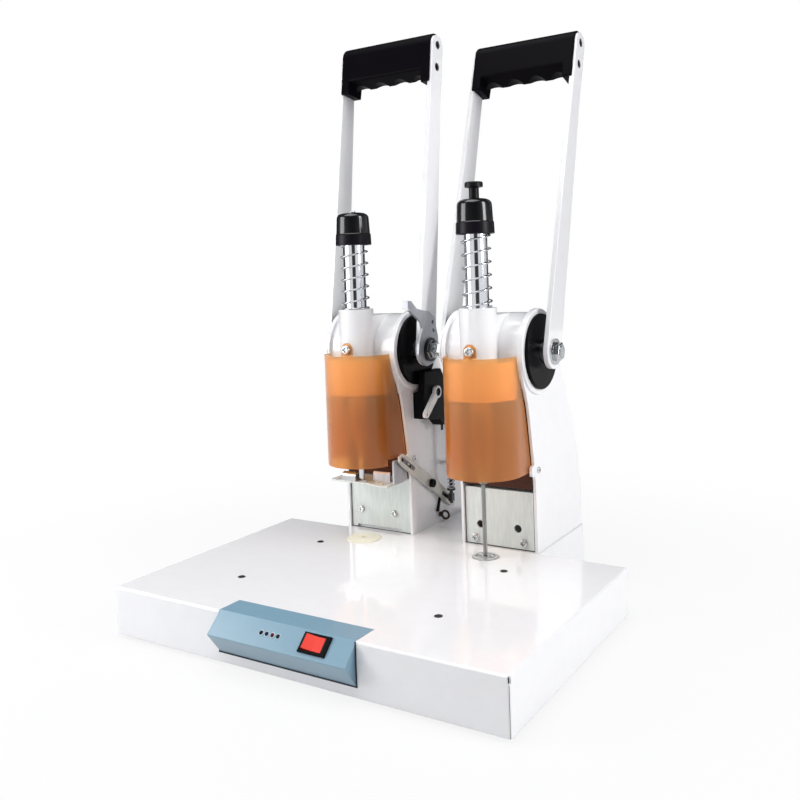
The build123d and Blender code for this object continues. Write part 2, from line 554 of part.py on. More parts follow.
def handle(xc, lean, side):
    xa = xc + ARM_SHIFT
    xi = ARM_GAP / 2
    arms = []
    for sgn in (-1, 1):
        x0 = xa + xi if sgn > 0 else xa - xi - ARM_T
        xf = xa + sgn * (xi + ARM_T)
        arm = Pos(0, SHAFT_Y, SHAFT_Z) * extrude(Plane.YZ.offset(x0) * arm_face(), amount=ARM_T)
        outer_face = arm.faces().sort_by(Axis.X)[-1 if sgn > 0 else 0]
        arm = soften(arm, outer_face.outer_wire().edges(), 0.6)
        arm -= cyl_x(SHAFT_Y, SHAFT_Z, x0 - 1, x0 + ARM_T + 1, 6.01)
        for u, v in GRIP_HOLES:
            arm -= cyl_x(SHAFT_Y + u, SHAFT_Z + v, x0 - 1, x0 + ARM_T + 1, 2.6)
            sink = (xf - sgn * BORE_DEEP, xf + sgn)
            arm -= cyl_x(SHAFT_Y + u, SHAFT_Z + v, min(sink), max(sink), BORE_R)
        arms.append(tilt(one(arm), lean))
    save(f"handle_arms_{side}", group(*arms))

    # moulded grip: sloped underside with four finger grooves, ends that take the arms
    half = xi + GRIP_END
    at = Pos(0, SHAFT_Y, SHAFT_Z)
    grip = at * extrude(Plane.YZ.offset(xa - half) * grip_section(), amount=2 * half)
    for i in range(4):
        x = xa + 27.0 * (i - 1.5)
        grip -= Pos(x, SHAFT_Y, SHAFT_Z + TOP_V - 49.4) * Rot(90, 0, 0) * Cylinder(16.2, 60)
    for sgn in (-1, 1):
        a = xa + xi - 8.0 if sgn > 0 else xa - half
        grip += at * extrude(Plane.YZ.offset(a) * lug_section(), amount=half - xi + 8.0)
    grip = one(grip)
    for sgn in (-1, 1):
        end = grip.faces().sort_by(Axis.X)[-1 if sgn > 0 else 0]
        grip = soften(grip, end.outer_wire().edges(), 1.5)
    for sgn in (-1, 1):
        x0 = xa + xi if sgn > 0 else xa - xi - ARM_T
        pocket = arm_head() + Polygon((-11.5, TOP_V - 60), (12.8, TOP_V - 60), (12.8, TOP_V - 40),
                                      (-11, TOP_V - 34), (-11.2, TOP_V - 44), align=None)
        grip -= at * extrude(Plane.YZ.offset(x0) * pocket, amount=ARM_T)
        xh = xa + sgn * xi
        for u, v in GRIP_HOLES:
            grip -= cyl_x(SHAFT_Y + u, SHAFT_Z + v, min(xh, xh - sgn * 16), max(xh, xh - sgn * 16), 2.0)
    save(f"grip_{side}", tilt(one(grip), lean))

    screws = []
    for sgn in (-1, 1):
        xf = xa + sgn * (xi + ARM_T)
        for u, v in GRIP_HOLES:
            s = cyl_x(SHAFT_Y + u, SHAFT_Z + v, min(xf, xf - sgn * 18), max(xf, xf - sgn * 18), 2.0)
            h = (xf - sgn * BORE_DEEP, xf - sgn * 0.5)
            dip = sorted((xf + sgn, xf - sgn * 2))
            s = s - cyl_x(SHAFT_Y + u, SHAFT_Z + v, dip[0], dip[1], 3.0)
            s += cyl_x(SHAFT_Y + u, SHAFT_Z + v, min(h), max(h), SCREW_HEAD_R)
            sk = (xf - sgn * 2.7, xf + sgn * 1.0)
            s -= hexagon_x(SHAFT_Y + u, SHAFT_Z + v, min(sk), max(sk), 4.0)
            screws.append(tilt(one(s), lean))
    save(f"grip_screws_{side}", group(*screws))

    # shaft with shoulders, washers and nuts
    f = xc + CHEEK_X + 2.6 + 3.4 + GAP
    g = xc - CHEEK_X - 2.6 - 3.4 - GAP
    xr_in, xr_out = xa + xi, xa + xi + ARM_T
    xl_in, xl_out = xa - xi, xa - xi - ARM_T
    extra = 3.0 if side == "left" else 0.0      # the cam bracket sits under the right-hand washer
    shaft = cyl_x(SHAFT_Y, SHAFT_Z, g + 3.7, f - 3.7, SHAFT_D / 2)
    shaft += cyl_x(SHAFT_Y, SHAFT_Z, f - 3.7, xr_in, 11.0) + cyl_x(SHAFT_Y, SHAFT_Z, xl_in, g + 3.7, 11.0)
    shaft += cyl_x(SHAFT_Y, SHAFT_Z, xr_in - 1, xr_out + extra + 8.8, 6.0)
    shaft += cyl_x(SHAFT_Y, SHAFT_Z, xl_out - 8.8, xl_in + 1, 6.0)
    save(f"shaft_{side}", one(shaft))
    bits = []
    for sgn, xf in ((1, xr_out + extra), (-1, xl_out)):
        a, b, c = xf, xf + sgn * 2.0, xf + sgn * 8.0
        w = cyl_x(SHAFT_Y, SHAFT_Z, min(a, b), max(a, b), 13.4)
        w -= cyl_x(SHAFT_Y, SHAFT_Z, min(a, b) - 1, max(a, b) + 1, 6.01)
        n = hexagon_x(SHAFT_Y, SHAFT_Z, min(b, c), max(b, c), 17.0, 12)
        n = soften(n, n.faces().sort_by(Axis.X)[-1 if sgn > 0 else 0].edges(), 1.2)
        n -= cyl_x(SHAFT_Y, SHAFT_Z, min(b, c) - 1, max(b, c) + 1, 6.01)
        bits += [one(w), one(n)]
    save(f"shaft_nuts_{side}", group(*bits))

    # pinion, a tooth gap facing the rack
    ring = tooth_ring(RACK_MODULE, PINION_TEETH)
    pts = [(SHAFT_Y - u, SHAFT_Z + v) for u, v in ring]
    gear = prism_x(pts, xc - 4.6, xc + 4.6)
    gear += cyl_x(SHAFT_Y, SHAFT_Z, xc - 11, xc + 11, 14.0)
    gear -= cyl_x(SHAFT_Y, SHAFT_Z, xc - 12, xc + 12, SHAFT_D / 2 + 0.01)
    for i in range(5):
        a = radians(72 * i + 36)
        gear -= cyl_x(SHAFT_Y + 19.3 * cos(a), SHAFT_Z + 19.3 * sin(a), xc - 12, xc + 12, 3.2)
    save(f"pinion_{side}", one(gear))


handle(COL_L, LEAN_L, "left")
handle(COL_R, LEAN_R, "right")

# ---- rams: rod, rack, cap, spring ---------------------------------------------------------
SPRING_TOP = 4.6         # spring seat above the cap's lower rim
WIRE = 1.8
COIL_R = 14.8
TURNS = 5.5


def cap_section(z):
    """Half section of a cap: domed top, tapered side, skirt, spring seat inside."""
    with BuildSketch() as sk:
        with BuildLine():
            top = Spline((0, z + 36.2), (8.0, z + 35.7), (14.2, z + 34.4), (17.1, z + 31.9), (17.9, z + 28.0),
                         tangents=[(1, 0), (0.08, -1)])
            Polyline(top @ 1, (18.7, z + 12.6), (19.4, z + 11.6), (19.8, z + 0.4), (19.4, z), (17.4, z),
                     (17.4, z + SPRING_TOP), (16.9, z + SPRING_TOP), (16.6, z + 24.0), (12.0, z + 26.0),
                     (0, z + 26.0), (0, z + 36.2))
        make_face()
    return sk.sketch


def ram(xc, cap_z, low, side):
    rod = cyl_z(xc, ROD_Y, low, cap_z + 26.0, ROD_D / 2)
    rod -= blk(xc - 5.0, xc + 5.0, ROD_Y + 8.3, ROD_Y + 14, SHAFT_Z - 17, SHAFT_Z + 46.5)
    rod -= cyl_z(xc, ROD_Y, low - 1, cap_z + 27, 2.0)
    if side == "right":
        rod -= cyl_z(xc, ROD_Y, cap_z + 1.0, cap_z + 27, 5.15)           # knob stem runs in here
    save(f"ram_rod_{side}", one(rod))

    y_pitch = SHAFT_Y - PITCH_R
    pts = rack_points(RACK_MODULE, SHAFT_Z - 17, SHAFT_Z + 46.5, ROD_Y + 8.3, y_pitch, SHAFT_Z)
    rack = prism_x(pts, xc - 4.9, xc + 4.9)
    for z in (SHAFT_Z - 11.0, SHAFT_Z + 40.8):
        rack -= cyl_y(xc, z, ROD_Y + 12, ROD_Y + 26, 2.4)
    save(f"rack_{side}", one(rack))

    z = cap_z
    cap = Pos(xc, ROD_Y, 0) * revolve(Plane.XZ * cap_section(z), Axis.Z)
    collar = turn_z([(ROD_D / 2, z + SPRING_TOP), (17.0, z + SPRING_TOP), (16.8, z + 9.0), (ROD_D / 2, z + 9.0)],
                    xc, ROD_Y)
    cap += collar
    if side == "right":
        cap -= cyl_z(xc, ROD_Y, z + 20, z + 40, 5.15)
    save(f"ram_cap_{side}", one(cap))

    z0, z1 = BOSS_Z1, cap_z + SPRING_TOP
    h = z1 - z0 - WIRE - 0.04
    path = Pos(xc, ROD_Y, z0 + WIRE / 2 + 0.02) * Helix(pitch=h / TURNS, height=h, radius=COIL_R)
    start = path @ 0
    tangent = path % 0
    wire = sweep(Plane(origin=start, z_dir=tangent) * Circle(WIRE / 2), path=path)
    save(f"return_spring_{side}", one(wire))


ram(COL_L, CAP_Z_L, ROD_LOW_L, "left")
ram(COL_R, CAP_Z_R, ROD_LOW_R, "right")

nub = cyl_z(COL_L, ROD_Y, CAP_Z_L + 36.2, CAP_Z_L + 37.9, 3.4)
nub = soften(nub, nub.faces().sort_by(Axis.Z)[-1].edges(), 1.2)
nub -= blk(COL_L - 2.2, COL_L + 2.2, ROD_Y - 0.4, ROD_Y + 0.4, CAP_Z_L + 37.2, CAP_Z_L + 39)
save("cap_screw", one(nub))

z = CAP_Z_R + 36.2 + PIN_TRAVEL + GAP                   # underside of the knob, its travel above the cap
pin = turn_z([(0, z + 6.0), (8.4, z + 6.0), (9.3, z + 5.0), (9.3, z + 0.8), (7.6, z + 0.4), (5.1, z),
              (5.1, z - 31.9), (1.2, z - 31.9), (1.2, TIP + 10.5), (0, TIP + 10.5)], COL_R, ROD_Y)
save("clearing_pin", one(pin))

# ---- left station: riveting head and punch ---------------------------------------------
low = ROD_LOW_L
HEAD_BOT = 160.0
hot = turn_z([(2.0, low), (13.5, low), (13.5, low - 6), (12.6, low - 7), (12.6, HEAD_BOT + 9),
              (13.5, HEAD_BOT + 8), (13.5, HEAD_BOT + 2), (11.5, HEAD_BOT), (3.35, HEAD_BOT),
              (3.35, HEAD_BOT + 10), (2.0, HEAD_BOT + 10)],
             COL_L, ROD_Y)
for i in range(2):
    fin = low - 12 - 6 * i
    hot -= turn_z([(11.4, fin), (14, fin), (14, fin - 2.6), (11.4, fin - 2.6)],
                  COL_L, ROD_Y)
save("riveting_head", one(hot))
punch = turn_z([(0, HEAD_BOT + 10), (3.35, HEAD_BOT + 10), (3.35, HEAD_BOT), (6.4, HEAD_BOT),
                (6.4, HEAD_BOT - 4.0),
                (3.35, HEAD_BOT - 7.0), (3.35, 114.2), (2.6, 113.2), (1.3, 113.2), (0.9, 111.6), (0, 111.4)],
               COL_L, ROD_Y)
save("rivet_punch", one(punch))

# ---- right station: hollow-shaft motor and drill ------------------------------------------
low = ROD_LOW_R
MOTOR_BOT = 139.0
motor = turn_z([(3.2, low), (13.6, low), (13.6, MOTOR_BOT + 3), (12.4, MOTOR_BOT), (6.0, MOTOR_BOT),
                (6.0, MOTOR_BOT - 1.6),
                (3.2, MOTOR_BOT - 1.6)], COL_R, ROD_Y)
for i in range(8):
    a = radians(45 * i)
    motor -= Pos(COL_R + 13.6 * cos(a), ROD_Y + 13.6 * sin(a), low - 9) * Rot(0, 0, 45 * i) * Box(1.6, 3.2, 7)
save("drill_motor", one(motor))
spindle = turn_z([(1.35, low - 1), (3.15, low - 1), (3.15, MOTOR_BOT - 2.0), (8.0, MOTOR_BOT - 2.0),
                  (8.0, MOTOR_BOT - 9),
                  (5.4, MOTOR_BOT - 16), (DRILL_D / 2, MOTOR_BOT - 18), (DRILL_D / 2, TIP + 2.0), (1.6, TIP),
                  (1.35, TIP)], COL_R, ROD_Y)
for i in range(3):
    a = radians(120 * i)
    at = Pos(COL_R + 8.0 * cos(a), ROD_Y + 8.0 * sin(a), MOTOR_BOT - 6)
    spindle -= at * Rot(0, 0, 120 * i) * Box(1.6, 1.4, 16)
save("drill_spindle", one(spindle))

# ---- left station: cutter ---------------------------------------------------------------------
BED_Z = PLATE_TOP
CHK = COL_L + CHEEK_X                                  # outer face of the left column's right cheek
bed = prism_z([(-120.2, 100.0), (-66.0, 97.2), (-52.0, 92.0), (-39.6, 92.0), (-39.6, 152.0), (-112.0, 152.0),
               (-112.0, 140.4), (-120.2, 140.4)], BED_Z, BED_Z + 2)
bed = soften(bed, [e for e in bed.edges().filter_by(Axis.Z) if e.center().Y < 101], 1.6)
bed -= cyl_z(COL_L, ROD_Y, BED_Z - 1, BED_Z + 3, 4.3)
bed -= blk(-50.5, -46.5, 96, 122, BED_Z - 1, BED_Z + 3)
save("cutter_bed", one(bed))

guide = blk(-104, -86, 98.5, 108.5, BED_Z + 2, BED_Z + 7) + cyl_x(103.5, BED_Z + 7.0, -104, -86, 4.6)
guide -= cyl_x(103.5, BED_Z + 7.0, -106, -84, 2.8)
guide = guide - blk(-105, -85, 90, 98.6, 0, 200)
save("tube_guide", one(guide))

PIV_Y, PIV_Z = 170.3, 98.1
LEVER_A = -33.2                                        # slope of the lever
PIN_R, ROD_R = -57.7, 43.8                             # distances along the lever from its pivot


def along(d, up=0.0):
    a = radians(LEVER_A)
    return PIV_Y + d * cos(a) - up * sin(a), PIV_Z + d * sin(a) + up * cos(a)


def slot_x(d0, d1, w, x0, x1):
    (ya, za), (yb, zb) = along(d0), along(d1)
    s = cyl_x(ya, za, x0, x1, w / 2) + cyl_x(yb, zb, x0, x1, w / 2)
    return s + prism_x([along(d0, w / 2), along(d1, w / 2), along(d1, -w / 2), along(d0, -w / 2)], x0, x1)


lx0, lx1 = CHK + 2.0, CHK + 5.0
lever = prism_x([along(-72, 6), along(-30, 6.5), along(-9, 7.6), along(9, 7.6), along(30, 6.5), along(58, 6),
                 along(64, 2), along(64, -4), along(58, -6), along(-60, -6.5), along(-74, -5), along(-77, 0)],
                lx0, lx1)
lever -= slot_x(-71, -44, 5.0, lx0 - 1, lx1 + 1)
lever -= slot_x(32, 56, 5.0, lx0 - 1, lx1 + 1)
lever -= cyl_x(PIV_Y, PIV_Z, lx0 - 1, lx1 + 1, 3.05)
save("cutter_lever", one(lever))

bolt = cyl_x(PIV_Y, PIV_Z, CHK - 6, lx1 + 0.3, 3.0) + cyl_x(PIV_Y, PIV_Z, lx1 + 0.3, lx1 + 4.4, 4.7)
bolt = soften(bolt, bolt.faces().sort_by(Axis.X)[-1].edges(), 0.8)
bolt -= hexagon_x(PIV_Y, PIV_Z, lx1 + 2.4, lx1 + 6, 3.0)
spacer = cyl_x(PIV_Y, PIV_Z, CHK, lx0 - 0.3, 5.6) - cyl_x(PIV_Y, PIV_Z, CHK - 1, lx0 + 1, 3.0)
save("lever_pivot", group(one(bolt), one(spacer)))

py, pz = along(PIN_R)
up = prism_x([(101.2, BED_Z + 2.05), (101.2, 134.5), (103.2, 136.4), (124.6, 134.6), (125.6, 131.6),
              (128.0, 124.0), (127.6, 112.0), (118.0, BED_Z + 2.05)], CHK - 2.6, CHK - 0.4)
up += blk(-63.0, CHK - 2.5, 103.5, 117.0, BED_Z + 2.05, BED_Z + 3.8)
up += blk(-50.3, -46.7, 109.0, 114.5, BED_Z + 0.3, BED_Z + 2.2)
up += cyl_x(py, pz, CHK - 0.5, lx1 + 1.2, 1.5) + cyl_x(py, pz, CHK - 0.5, lx0 - 0.5, 4.0)
blade = blk(-66.0, -44.0, 105.0, 107.6, BED_Z + 3.8, BED_Z + 14.0)
blade = blade - prism_x([(104, BED_Z + 10), (105.9, BED_Z + 14.1), (104, BED_Z + 15)], -67, -43)
save("cutter_slide", group(one(up), blade))

ry, rz = along(ROD_R)
rx = lx1 + 5.5
pull = cyl_z(rx, ry, rz - 7, 176, 2.0) + cyl_x(ry, rz, lx0 - 0.6, rx, 1.5)
pull += cyl_z(rx, ry, rz + 8.4, rz + 10.4, 5.0) + Pos(rx, ry, rz) * Box(5.0, 6.0, 9.0)
save("pull_rod", one(pull))

BR_Z = 113.0                                            # guide bracket of the pull rod
spring_h = BR_Z - (rz + 10.4) - 1.4 - 0.04
path = Pos(rx, ry, rz + 10.4 + 0.72) * Helix(pitch=spring_h / 6.5, height=spring_h, radius=3.9)
wire = sweep(Plane(origin=path @ 0, z_dir=path % 0) * Circle(0.7), path=path)
save("rod_spring", one(wire))

box_pts = [(145.5, 176.0), (145.5, 205.0), (149.0, 229.0), (186.0, 229.0), (199.0, 210.0), (213.5, 196.0),
           (213.5, 163.0), (187.0, 163.0), (178.0, 171.0)]
low_pts = [(145.5, 176.0), (145.5, 205.0), (213.5, 205.0), (213.5, 163.0), (187.0, 163.0), (178.0, 171.0)]
BOX_X = CHK + 14.0
box = prism_x(box_pts, CHK + 6.6, BOX_X) + prism_x([p for p in low_pts if True], CHK, CHK + 7)
box -= prism_x([(199.0, 210.0), (213.5, 196.0), (220, 215)], CHK - 1, BOX_X + 1)
box = soften(box, box.faces().sort_by(Axis.X)[-1].edges(), 1.2)
box -= cyl_z(rx, ry, 160, 184, 2.1)
HUB = (171.0, 203.8)
box -= cyl_x(HUB[0], HUB[1], BOX_X - 6, BOX_X + 1, 3.05)
for y in (190.0, 199.0):
    box += blk(BOX_X - 4, BOX_X - 3.2, y - 2.2, y + 2.2, 156.5, 163.2)
save("linkage_box", one(box))

cx0, cx1 = BOX_X + GAP, BOX_X + GAP + 4.0
END = (145.0, 181.5)
ux, uz = (END[0] - HUB[0]), (END[1] - HUB[1])
ul = hypot(ux, uz)
nx_, nz_ = -uz / ul, ux / ul
crank = prism_x([(HUB[0] + nx_ * 4.6, HUB[1] + nz_ * 4.6), (END[0] + nx_ * 4, END[1] + nz_ * 4),
                 (END[0] - nx_ * 4, END[1] - nz_ * 4), (HUB[0] - nx_ * 4.6, HUB[1] - nz_ * 4.6)], cx0, cx1)
crank += cyl_x(END[0], END[1], cx0, cx1, 4.0) + cyl_x(HUB[0], HUB[1], cx0, cx1, 7.0)
crank -= cyl_x(END[0], END[1], cx0 - 1, cx1 + 1, 1.5)
crank -= cyl_x(HUB[0], HUB[1], cx1 - 1.6, cx1 + 1, 4.6)
crank += cyl_x(HUB[0], HUB[1], BOX_X - 5.5, cx0 + 0.5, 3.0)
save("crank_arm", one(crank))

# cam bracket under the right-hand washer of the left handle
bx0 = COL_L + ARM_SHIFT + ARM_GAP / 2 + ARM_T
cam_pts = [(109.0, 310.0), (130.0, 301.4), (152.5, 290.5), (164.5, 281.5), (169.6, 270.0), (168.4, 255.0),
           (166.2, 240.0), (166.0, 227.5), (157.0, 226.0), (149.0, 237.0), (138.0, 243.5), (132.5, 255.0),
           (128.0, 270.0), (125.0, 279.0), (116.0, 291.5), (109.0, 300.5)]
cam = prism_x(cam_pts, bx0, bx0 + 3.0)
cam += blk(bx0 - 4.6, bx0 + 3.0, 106.4, 109.2, 301.0, 310.0)
cam -= cyl_x(SHAFT_Y, SHAFT_Z, bx0 - 1, bx0 + 4, 6.01)
for y, z in ((158.7, 283.3), (160.1, 274.0)):
    cam -= cyl_x(y, z, bx0 - 1, bx0 + 4, 2.2)
save("cam_bracket", one(cam))
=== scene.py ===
import math
import bmesh
import bpy
from mathutils import Matrix, Vector


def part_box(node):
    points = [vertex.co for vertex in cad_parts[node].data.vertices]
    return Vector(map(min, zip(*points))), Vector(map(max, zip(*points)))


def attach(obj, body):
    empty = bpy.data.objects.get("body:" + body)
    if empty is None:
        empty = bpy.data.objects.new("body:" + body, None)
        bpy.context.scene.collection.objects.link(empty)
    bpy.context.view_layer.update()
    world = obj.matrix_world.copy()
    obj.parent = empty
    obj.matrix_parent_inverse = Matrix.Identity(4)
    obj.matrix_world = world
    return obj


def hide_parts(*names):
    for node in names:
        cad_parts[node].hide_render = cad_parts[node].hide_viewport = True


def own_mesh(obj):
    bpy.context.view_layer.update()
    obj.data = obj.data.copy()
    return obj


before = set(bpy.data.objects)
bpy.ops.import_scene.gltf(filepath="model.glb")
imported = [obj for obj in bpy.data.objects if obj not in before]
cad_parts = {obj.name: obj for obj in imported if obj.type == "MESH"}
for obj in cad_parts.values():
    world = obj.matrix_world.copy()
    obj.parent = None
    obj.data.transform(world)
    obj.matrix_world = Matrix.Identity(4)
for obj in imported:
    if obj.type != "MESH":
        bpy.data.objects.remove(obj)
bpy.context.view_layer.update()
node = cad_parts

# ---- The studio ---------------------------------------------------------------
# A pale floor that keeps a soft shadow, a white surround, soft boxes left, right
# and above, and a camera a little above the table's right front corner.
FLOOR_WHITE = (0.66, 0.66, 0.67, 1)
floor_mesh = bpy.data.meshes.new("studio_floor")
floor_mesh.from_pydata([(-4, -4, 0), (4, -4, 0), (4, 4, 0), (-4, 4, 0)], [], [(0, 1, 2, 3)])
studio_floor = bpy.data.objects.new("studio_floor", floor_mesh)
bpy.context.collection.objects.link(studio_floor)
floor_paint = bpy.data.materials.new("studio_floor_paint")
floor_paint.use_nodes = True
ft = floor_paint.node_tree
ft.nodes.clear()
f_out = ft.nodes.new("ShaderNodeOutputMaterial")
f_mix = ft.nodes.new("ShaderNodeMixShader")
f_matt = ft.nodes.new("ShaderNodeBsdfDiffuse")
f_glow = ft.nodes.new("ShaderNodeEmission")
f_path = ft.nodes.new("ShaderNodeLightPath")
f_amount = ft.nodes.new("ShaderNodeMath")
f_any = ft.nodes.new("ShaderNodeMath")
f_any.operation = "MAXIMUM"
f_amount.operation = "MULTIPLY"
f_where = ft.nodes.new("ShaderNodeTexCoord")
f_far = ft.nodes.new("ShaderNodeVectorMath")
f_far.operation = "LENGTH"
f_fade = ft.nodes.new("ShaderNodeMapRange")
f_fade.interpolation_type = "SMOOTHSTEP"
f_fade.inputs["From Min"].default_value = 0.25
f_fade.inputs["From Max"].default_value = 0.75
f_fade.inputs["To Min"].default_value = 0.86
f_fade.inputs["To Max"].default_value = 1.0
f_matt.inputs["Color"].default_value = FLOOR_WHITE
f_glow.inputs["Color"].default_value = (1, 1, 1, 1)
f_glow.inputs["Strength"].default_value = 1.0
ft.links.new(f_path.outputs["Is Camera Ray"], f_any.inputs[0])
ft.links.new(f_path.outputs["Is Glossy Ray"], f_any.inputs[1])
ft.links.new(f_any.outputs[0], f_amount.inputs[0])
ft.links.new(f_where.outputs["Object"], f_far.inputs[0])
ft.links.new(f_far.outputs["Value"], f_fade.inputs["Value"])
ft.links.new(f_fade.outputs[0], f_amount.inputs[1])
ft.links.new(f_amount.outputs[0], f_mix.inputs["Fac"])
ft.links.new(f_matt.outputs[0], f_mix.inputs[1])
ft.links.new(f_glow.outputs[0], f_mix.inputs[2])
ft.links.new(f_mix.outputs[0], f_out.inputs["Surface"])
studio_floor.data.materials.append(floor_paint)

# The surround: white to the eye, a little dimmer as light, and with dark flags
# to the sides that polished metal picks up as bands.
surround = bpy.data.worlds.new("white_surround")
bpy.context.scene.world = surround
surround.use_nodes = True
wt = surround.node_tree
wt.nodes.clear()
w_out = wt.nodes.new("ShaderNodeOutputWorld")
w_light = wt.nodes.new("ShaderNodeBackground")
w_seen = wt.nodes.new("ShaderNodeBackground")
w_gloss = wt.nodes.new("ShaderNodeBackground")
w_path = wt.nodes.new("ShaderNodeLightPath")
w_dir = wt.nodes.new("ShaderNodeTexCoord")
w_axes = wt.nodes.new("ShaderNodeSeparateXYZ")
w_turn = wt.nodes.new("ShaderNodeMath")
w_turn.operation = "ARCTAN2"
w_round = wt.nodes.new("ShaderNodeMapRange")
w_round.inputs["From Min"].default_value = -math.pi
w_round.inputs["From Max"].default_value = math.pi
w_flags = wt.nodes.new("ShaderNodeValToRGB")
# place round the horizon, from 0 to 1, and how bright polished metal sees it there
bands = [(0.0, 0.95), (0.195, 0.95), (0.225, 0.07), (0.345, 0.06), (0.375, 0.55), (0.445, 0.55),
         (0.475, 0.06), (0.60, 0.06), (0.635, 0.95), (0.855, 1.0), (0.875, 0.06), (0.955, 0.05),
         (0.975, 0.95), (1.0, 0.95)]
ramp = w_flags.color_ramp
while len(ramp.elements) > 1:
    ramp.elements.remove(ramp.elements[-1])
ramp.elements[0].position = bands[0][0]
ramp.elements[0].color = (bands[0][1],) * 3 + (1,)
for at, level in bands[1:]:
    stop = ramp.elements.new(at)
    stop.color = (level, level, level * 1.02, 1)
w_light.inputs["Color"].default_value = (0.955, 0.965, 1.0, 1)
w_light.inputs["Strength"].default_value = 0.28
w_seen.inputs["Color"].default_value = (1, 1, 1, 1)
wt.links.new(w_dir.outputs["Generated"], w_axes.inputs[0])
wt.links.new(w_axes.outputs["X"], w_turn.inputs[0])
wt.links.new(w_axes.outputs["Y"], w_turn.inputs[1])
wt.links.new(w_turn.outputs[0], w_round.inputs["Value"])
wt.links.new(w_round.outputs[0], w_flags.inputs["Fac"])
w_height = wt.nodes.new("ShaderNodeMapRange")
w_height.interpolation_type = "SMOOTHSTEP"
w_height.inputs["From Min"].default_value = 0.04
w_height.inputs["From Max"].default_value = 0.16
w_dome = wt.nodes.new("ShaderNodeMix")
w_dome.data_type = "RGBA"
w_dome.inputs["B"].default_value = (0.085, 0.09, 0.105, 1)
wt.links.new(w_axes.outputs["Z"], w_height.inputs["Value"])
wt.links.new(w_height.outputs[0], w_dome.inputs["Factor"])
wt.links.new(w_flags.outputs[0], w_dome.inputs["A"])
wt.links.new(w_dome.outputs["Result"], w_gloss.inputs["Color"])
w_mix_gloss = wt.nodes.new("ShaderNodeMixShader")
w_mix_seen = wt.nodes.new("ShaderNodeMixShader")
w_through = wt.nodes.new("ShaderNodeMath")
w_through.operation = "MAXIMUM"
wt.links.new(w_path.outputs["Is Glossy Ray"], w_mix_gloss.inputs["Fac"])
wt.links.new(w_light.outputs[0], w_mix_gloss.inputs[1])
wt.links.new(w_gloss.outputs[0], w_mix_gloss.inputs[2])
wt.links.new(w_path.outputs["Is Camera Ray"], w_through.inputs[0])
wt.links.new(w_path.outputs["Is Transmission Ray"], w_through.inputs[1])
wt.links.new(w_through.outputs[0], w_mix_seen.inputs["Fac"])
wt.links.new(w_mix_gloss.outputs[0], w_mix_seen.inputs[1])
wt.links.new(w_seen.outputs[0], w_mix_seen.inputs[2])
wt.links.new(w_mix_seen.outputs[0], w_out.inputs["Surface"])


def soft_box(name, place, aim, width, height, watts):
    """A white area lamp at a place, turned to face its aim."""
    lamp = bpy.data.lights.new(name, "AREA")
    lamp.shape = "RECTANGLE"
    lamp.size, lamp.size_y = width, height
    lamp.energy = watts
    lamp.use_shadow = True
    holder = bpy.data.objects.new(name, lamp)
    bpy.context.collection.objects.link(holder)
    holder.location = place
    holder.rotation_mode = "QUATERNION"
    holder.rotation_quaternion = (Vector(aim) - Vector(place)).to_track_quat("-Z", "Y")


soft_box("box_left", (-0.72, -0.62, 0.50), (-0.10, -0.05, 0.18), 0.55, 0.55, 5.4)
soft_box("box_right", (1.55, 0.10, 0.85), (0, 0, 0.22), 0.5, 1.0, 17.0)
soft_box("box_above", (-0.08, -0.32, 1.65), (0, 0, 0.1), 1.3, 1.3, 19.0)

# the camera's place, and its turn, tilt and roll about the view axis
stand = Vector((0.4884, -0.76218, 0.3411))
turn, tilt, roll = math.radians(32.27), math.radians(2.06), math.radians(-2.02)
ahead = Vector((-math.sin(turn) * math.cos(tilt), math.cos(turn) * math.cos(tilt), -math.sin(tilt)))
right0 = Vector((math.cos(turn), math.sin(turn), 0))
up0 = right0.cross(ahead)
right = right0 * math.cos(roll) + up0 * math.sin(roll)
up = -right0 * math.sin(roll) + up0 * math.cos(roll)
lens = bpy.data.cameras.new("studio_camera")
lens.sensor_width, lens.lens = 36.0, 40.13
lens.shift_x, lens.shift_y = 0.0, -0.115
lens.clip_start, lens.clip_end = 0.05, 50
camera = bpy.data.objects.new("studio_camera", lens)
bpy.context.collection.objects.link(camera)
camera.matrix_world = Matrix(((right.x, up.x, -ahead.x, stand.x), (right.y, up.y, -ahead.y, stand.y),
                              (right.z, up.z, -ahead.z, stand.z), (0, 0, 0, 1)))
bpy.context.scene.camera = camera
bpy.context.scene.view_settings.view_transform = "Standard"

# ---- Table cover --------------------------------------------------------------
# Folded sheet steel, 1.5 mm, sprayed with white gloss enamel after folding, so
# it has a faint orange peel and soft corners where the film draws back.


def paint(r, g, b):
    """A colour given as it looks on screen, 0 to 255, in the shader's linear values."""
    linear = tuple(c / 255 / 12.92 if c < 10 else ((c / 255 + 0.055) / 1.055) ** 2.4 for c in (r, g, b))
    return linear + (1,)


def group_socket(group, name, way, kind, value=None):
    """A named input or output on a node group."""
    socket = group.interface.new_socket(name=name, in_out=way, socket_type=kind)
    if value is not None:
        socket.default_value = value
    return socket


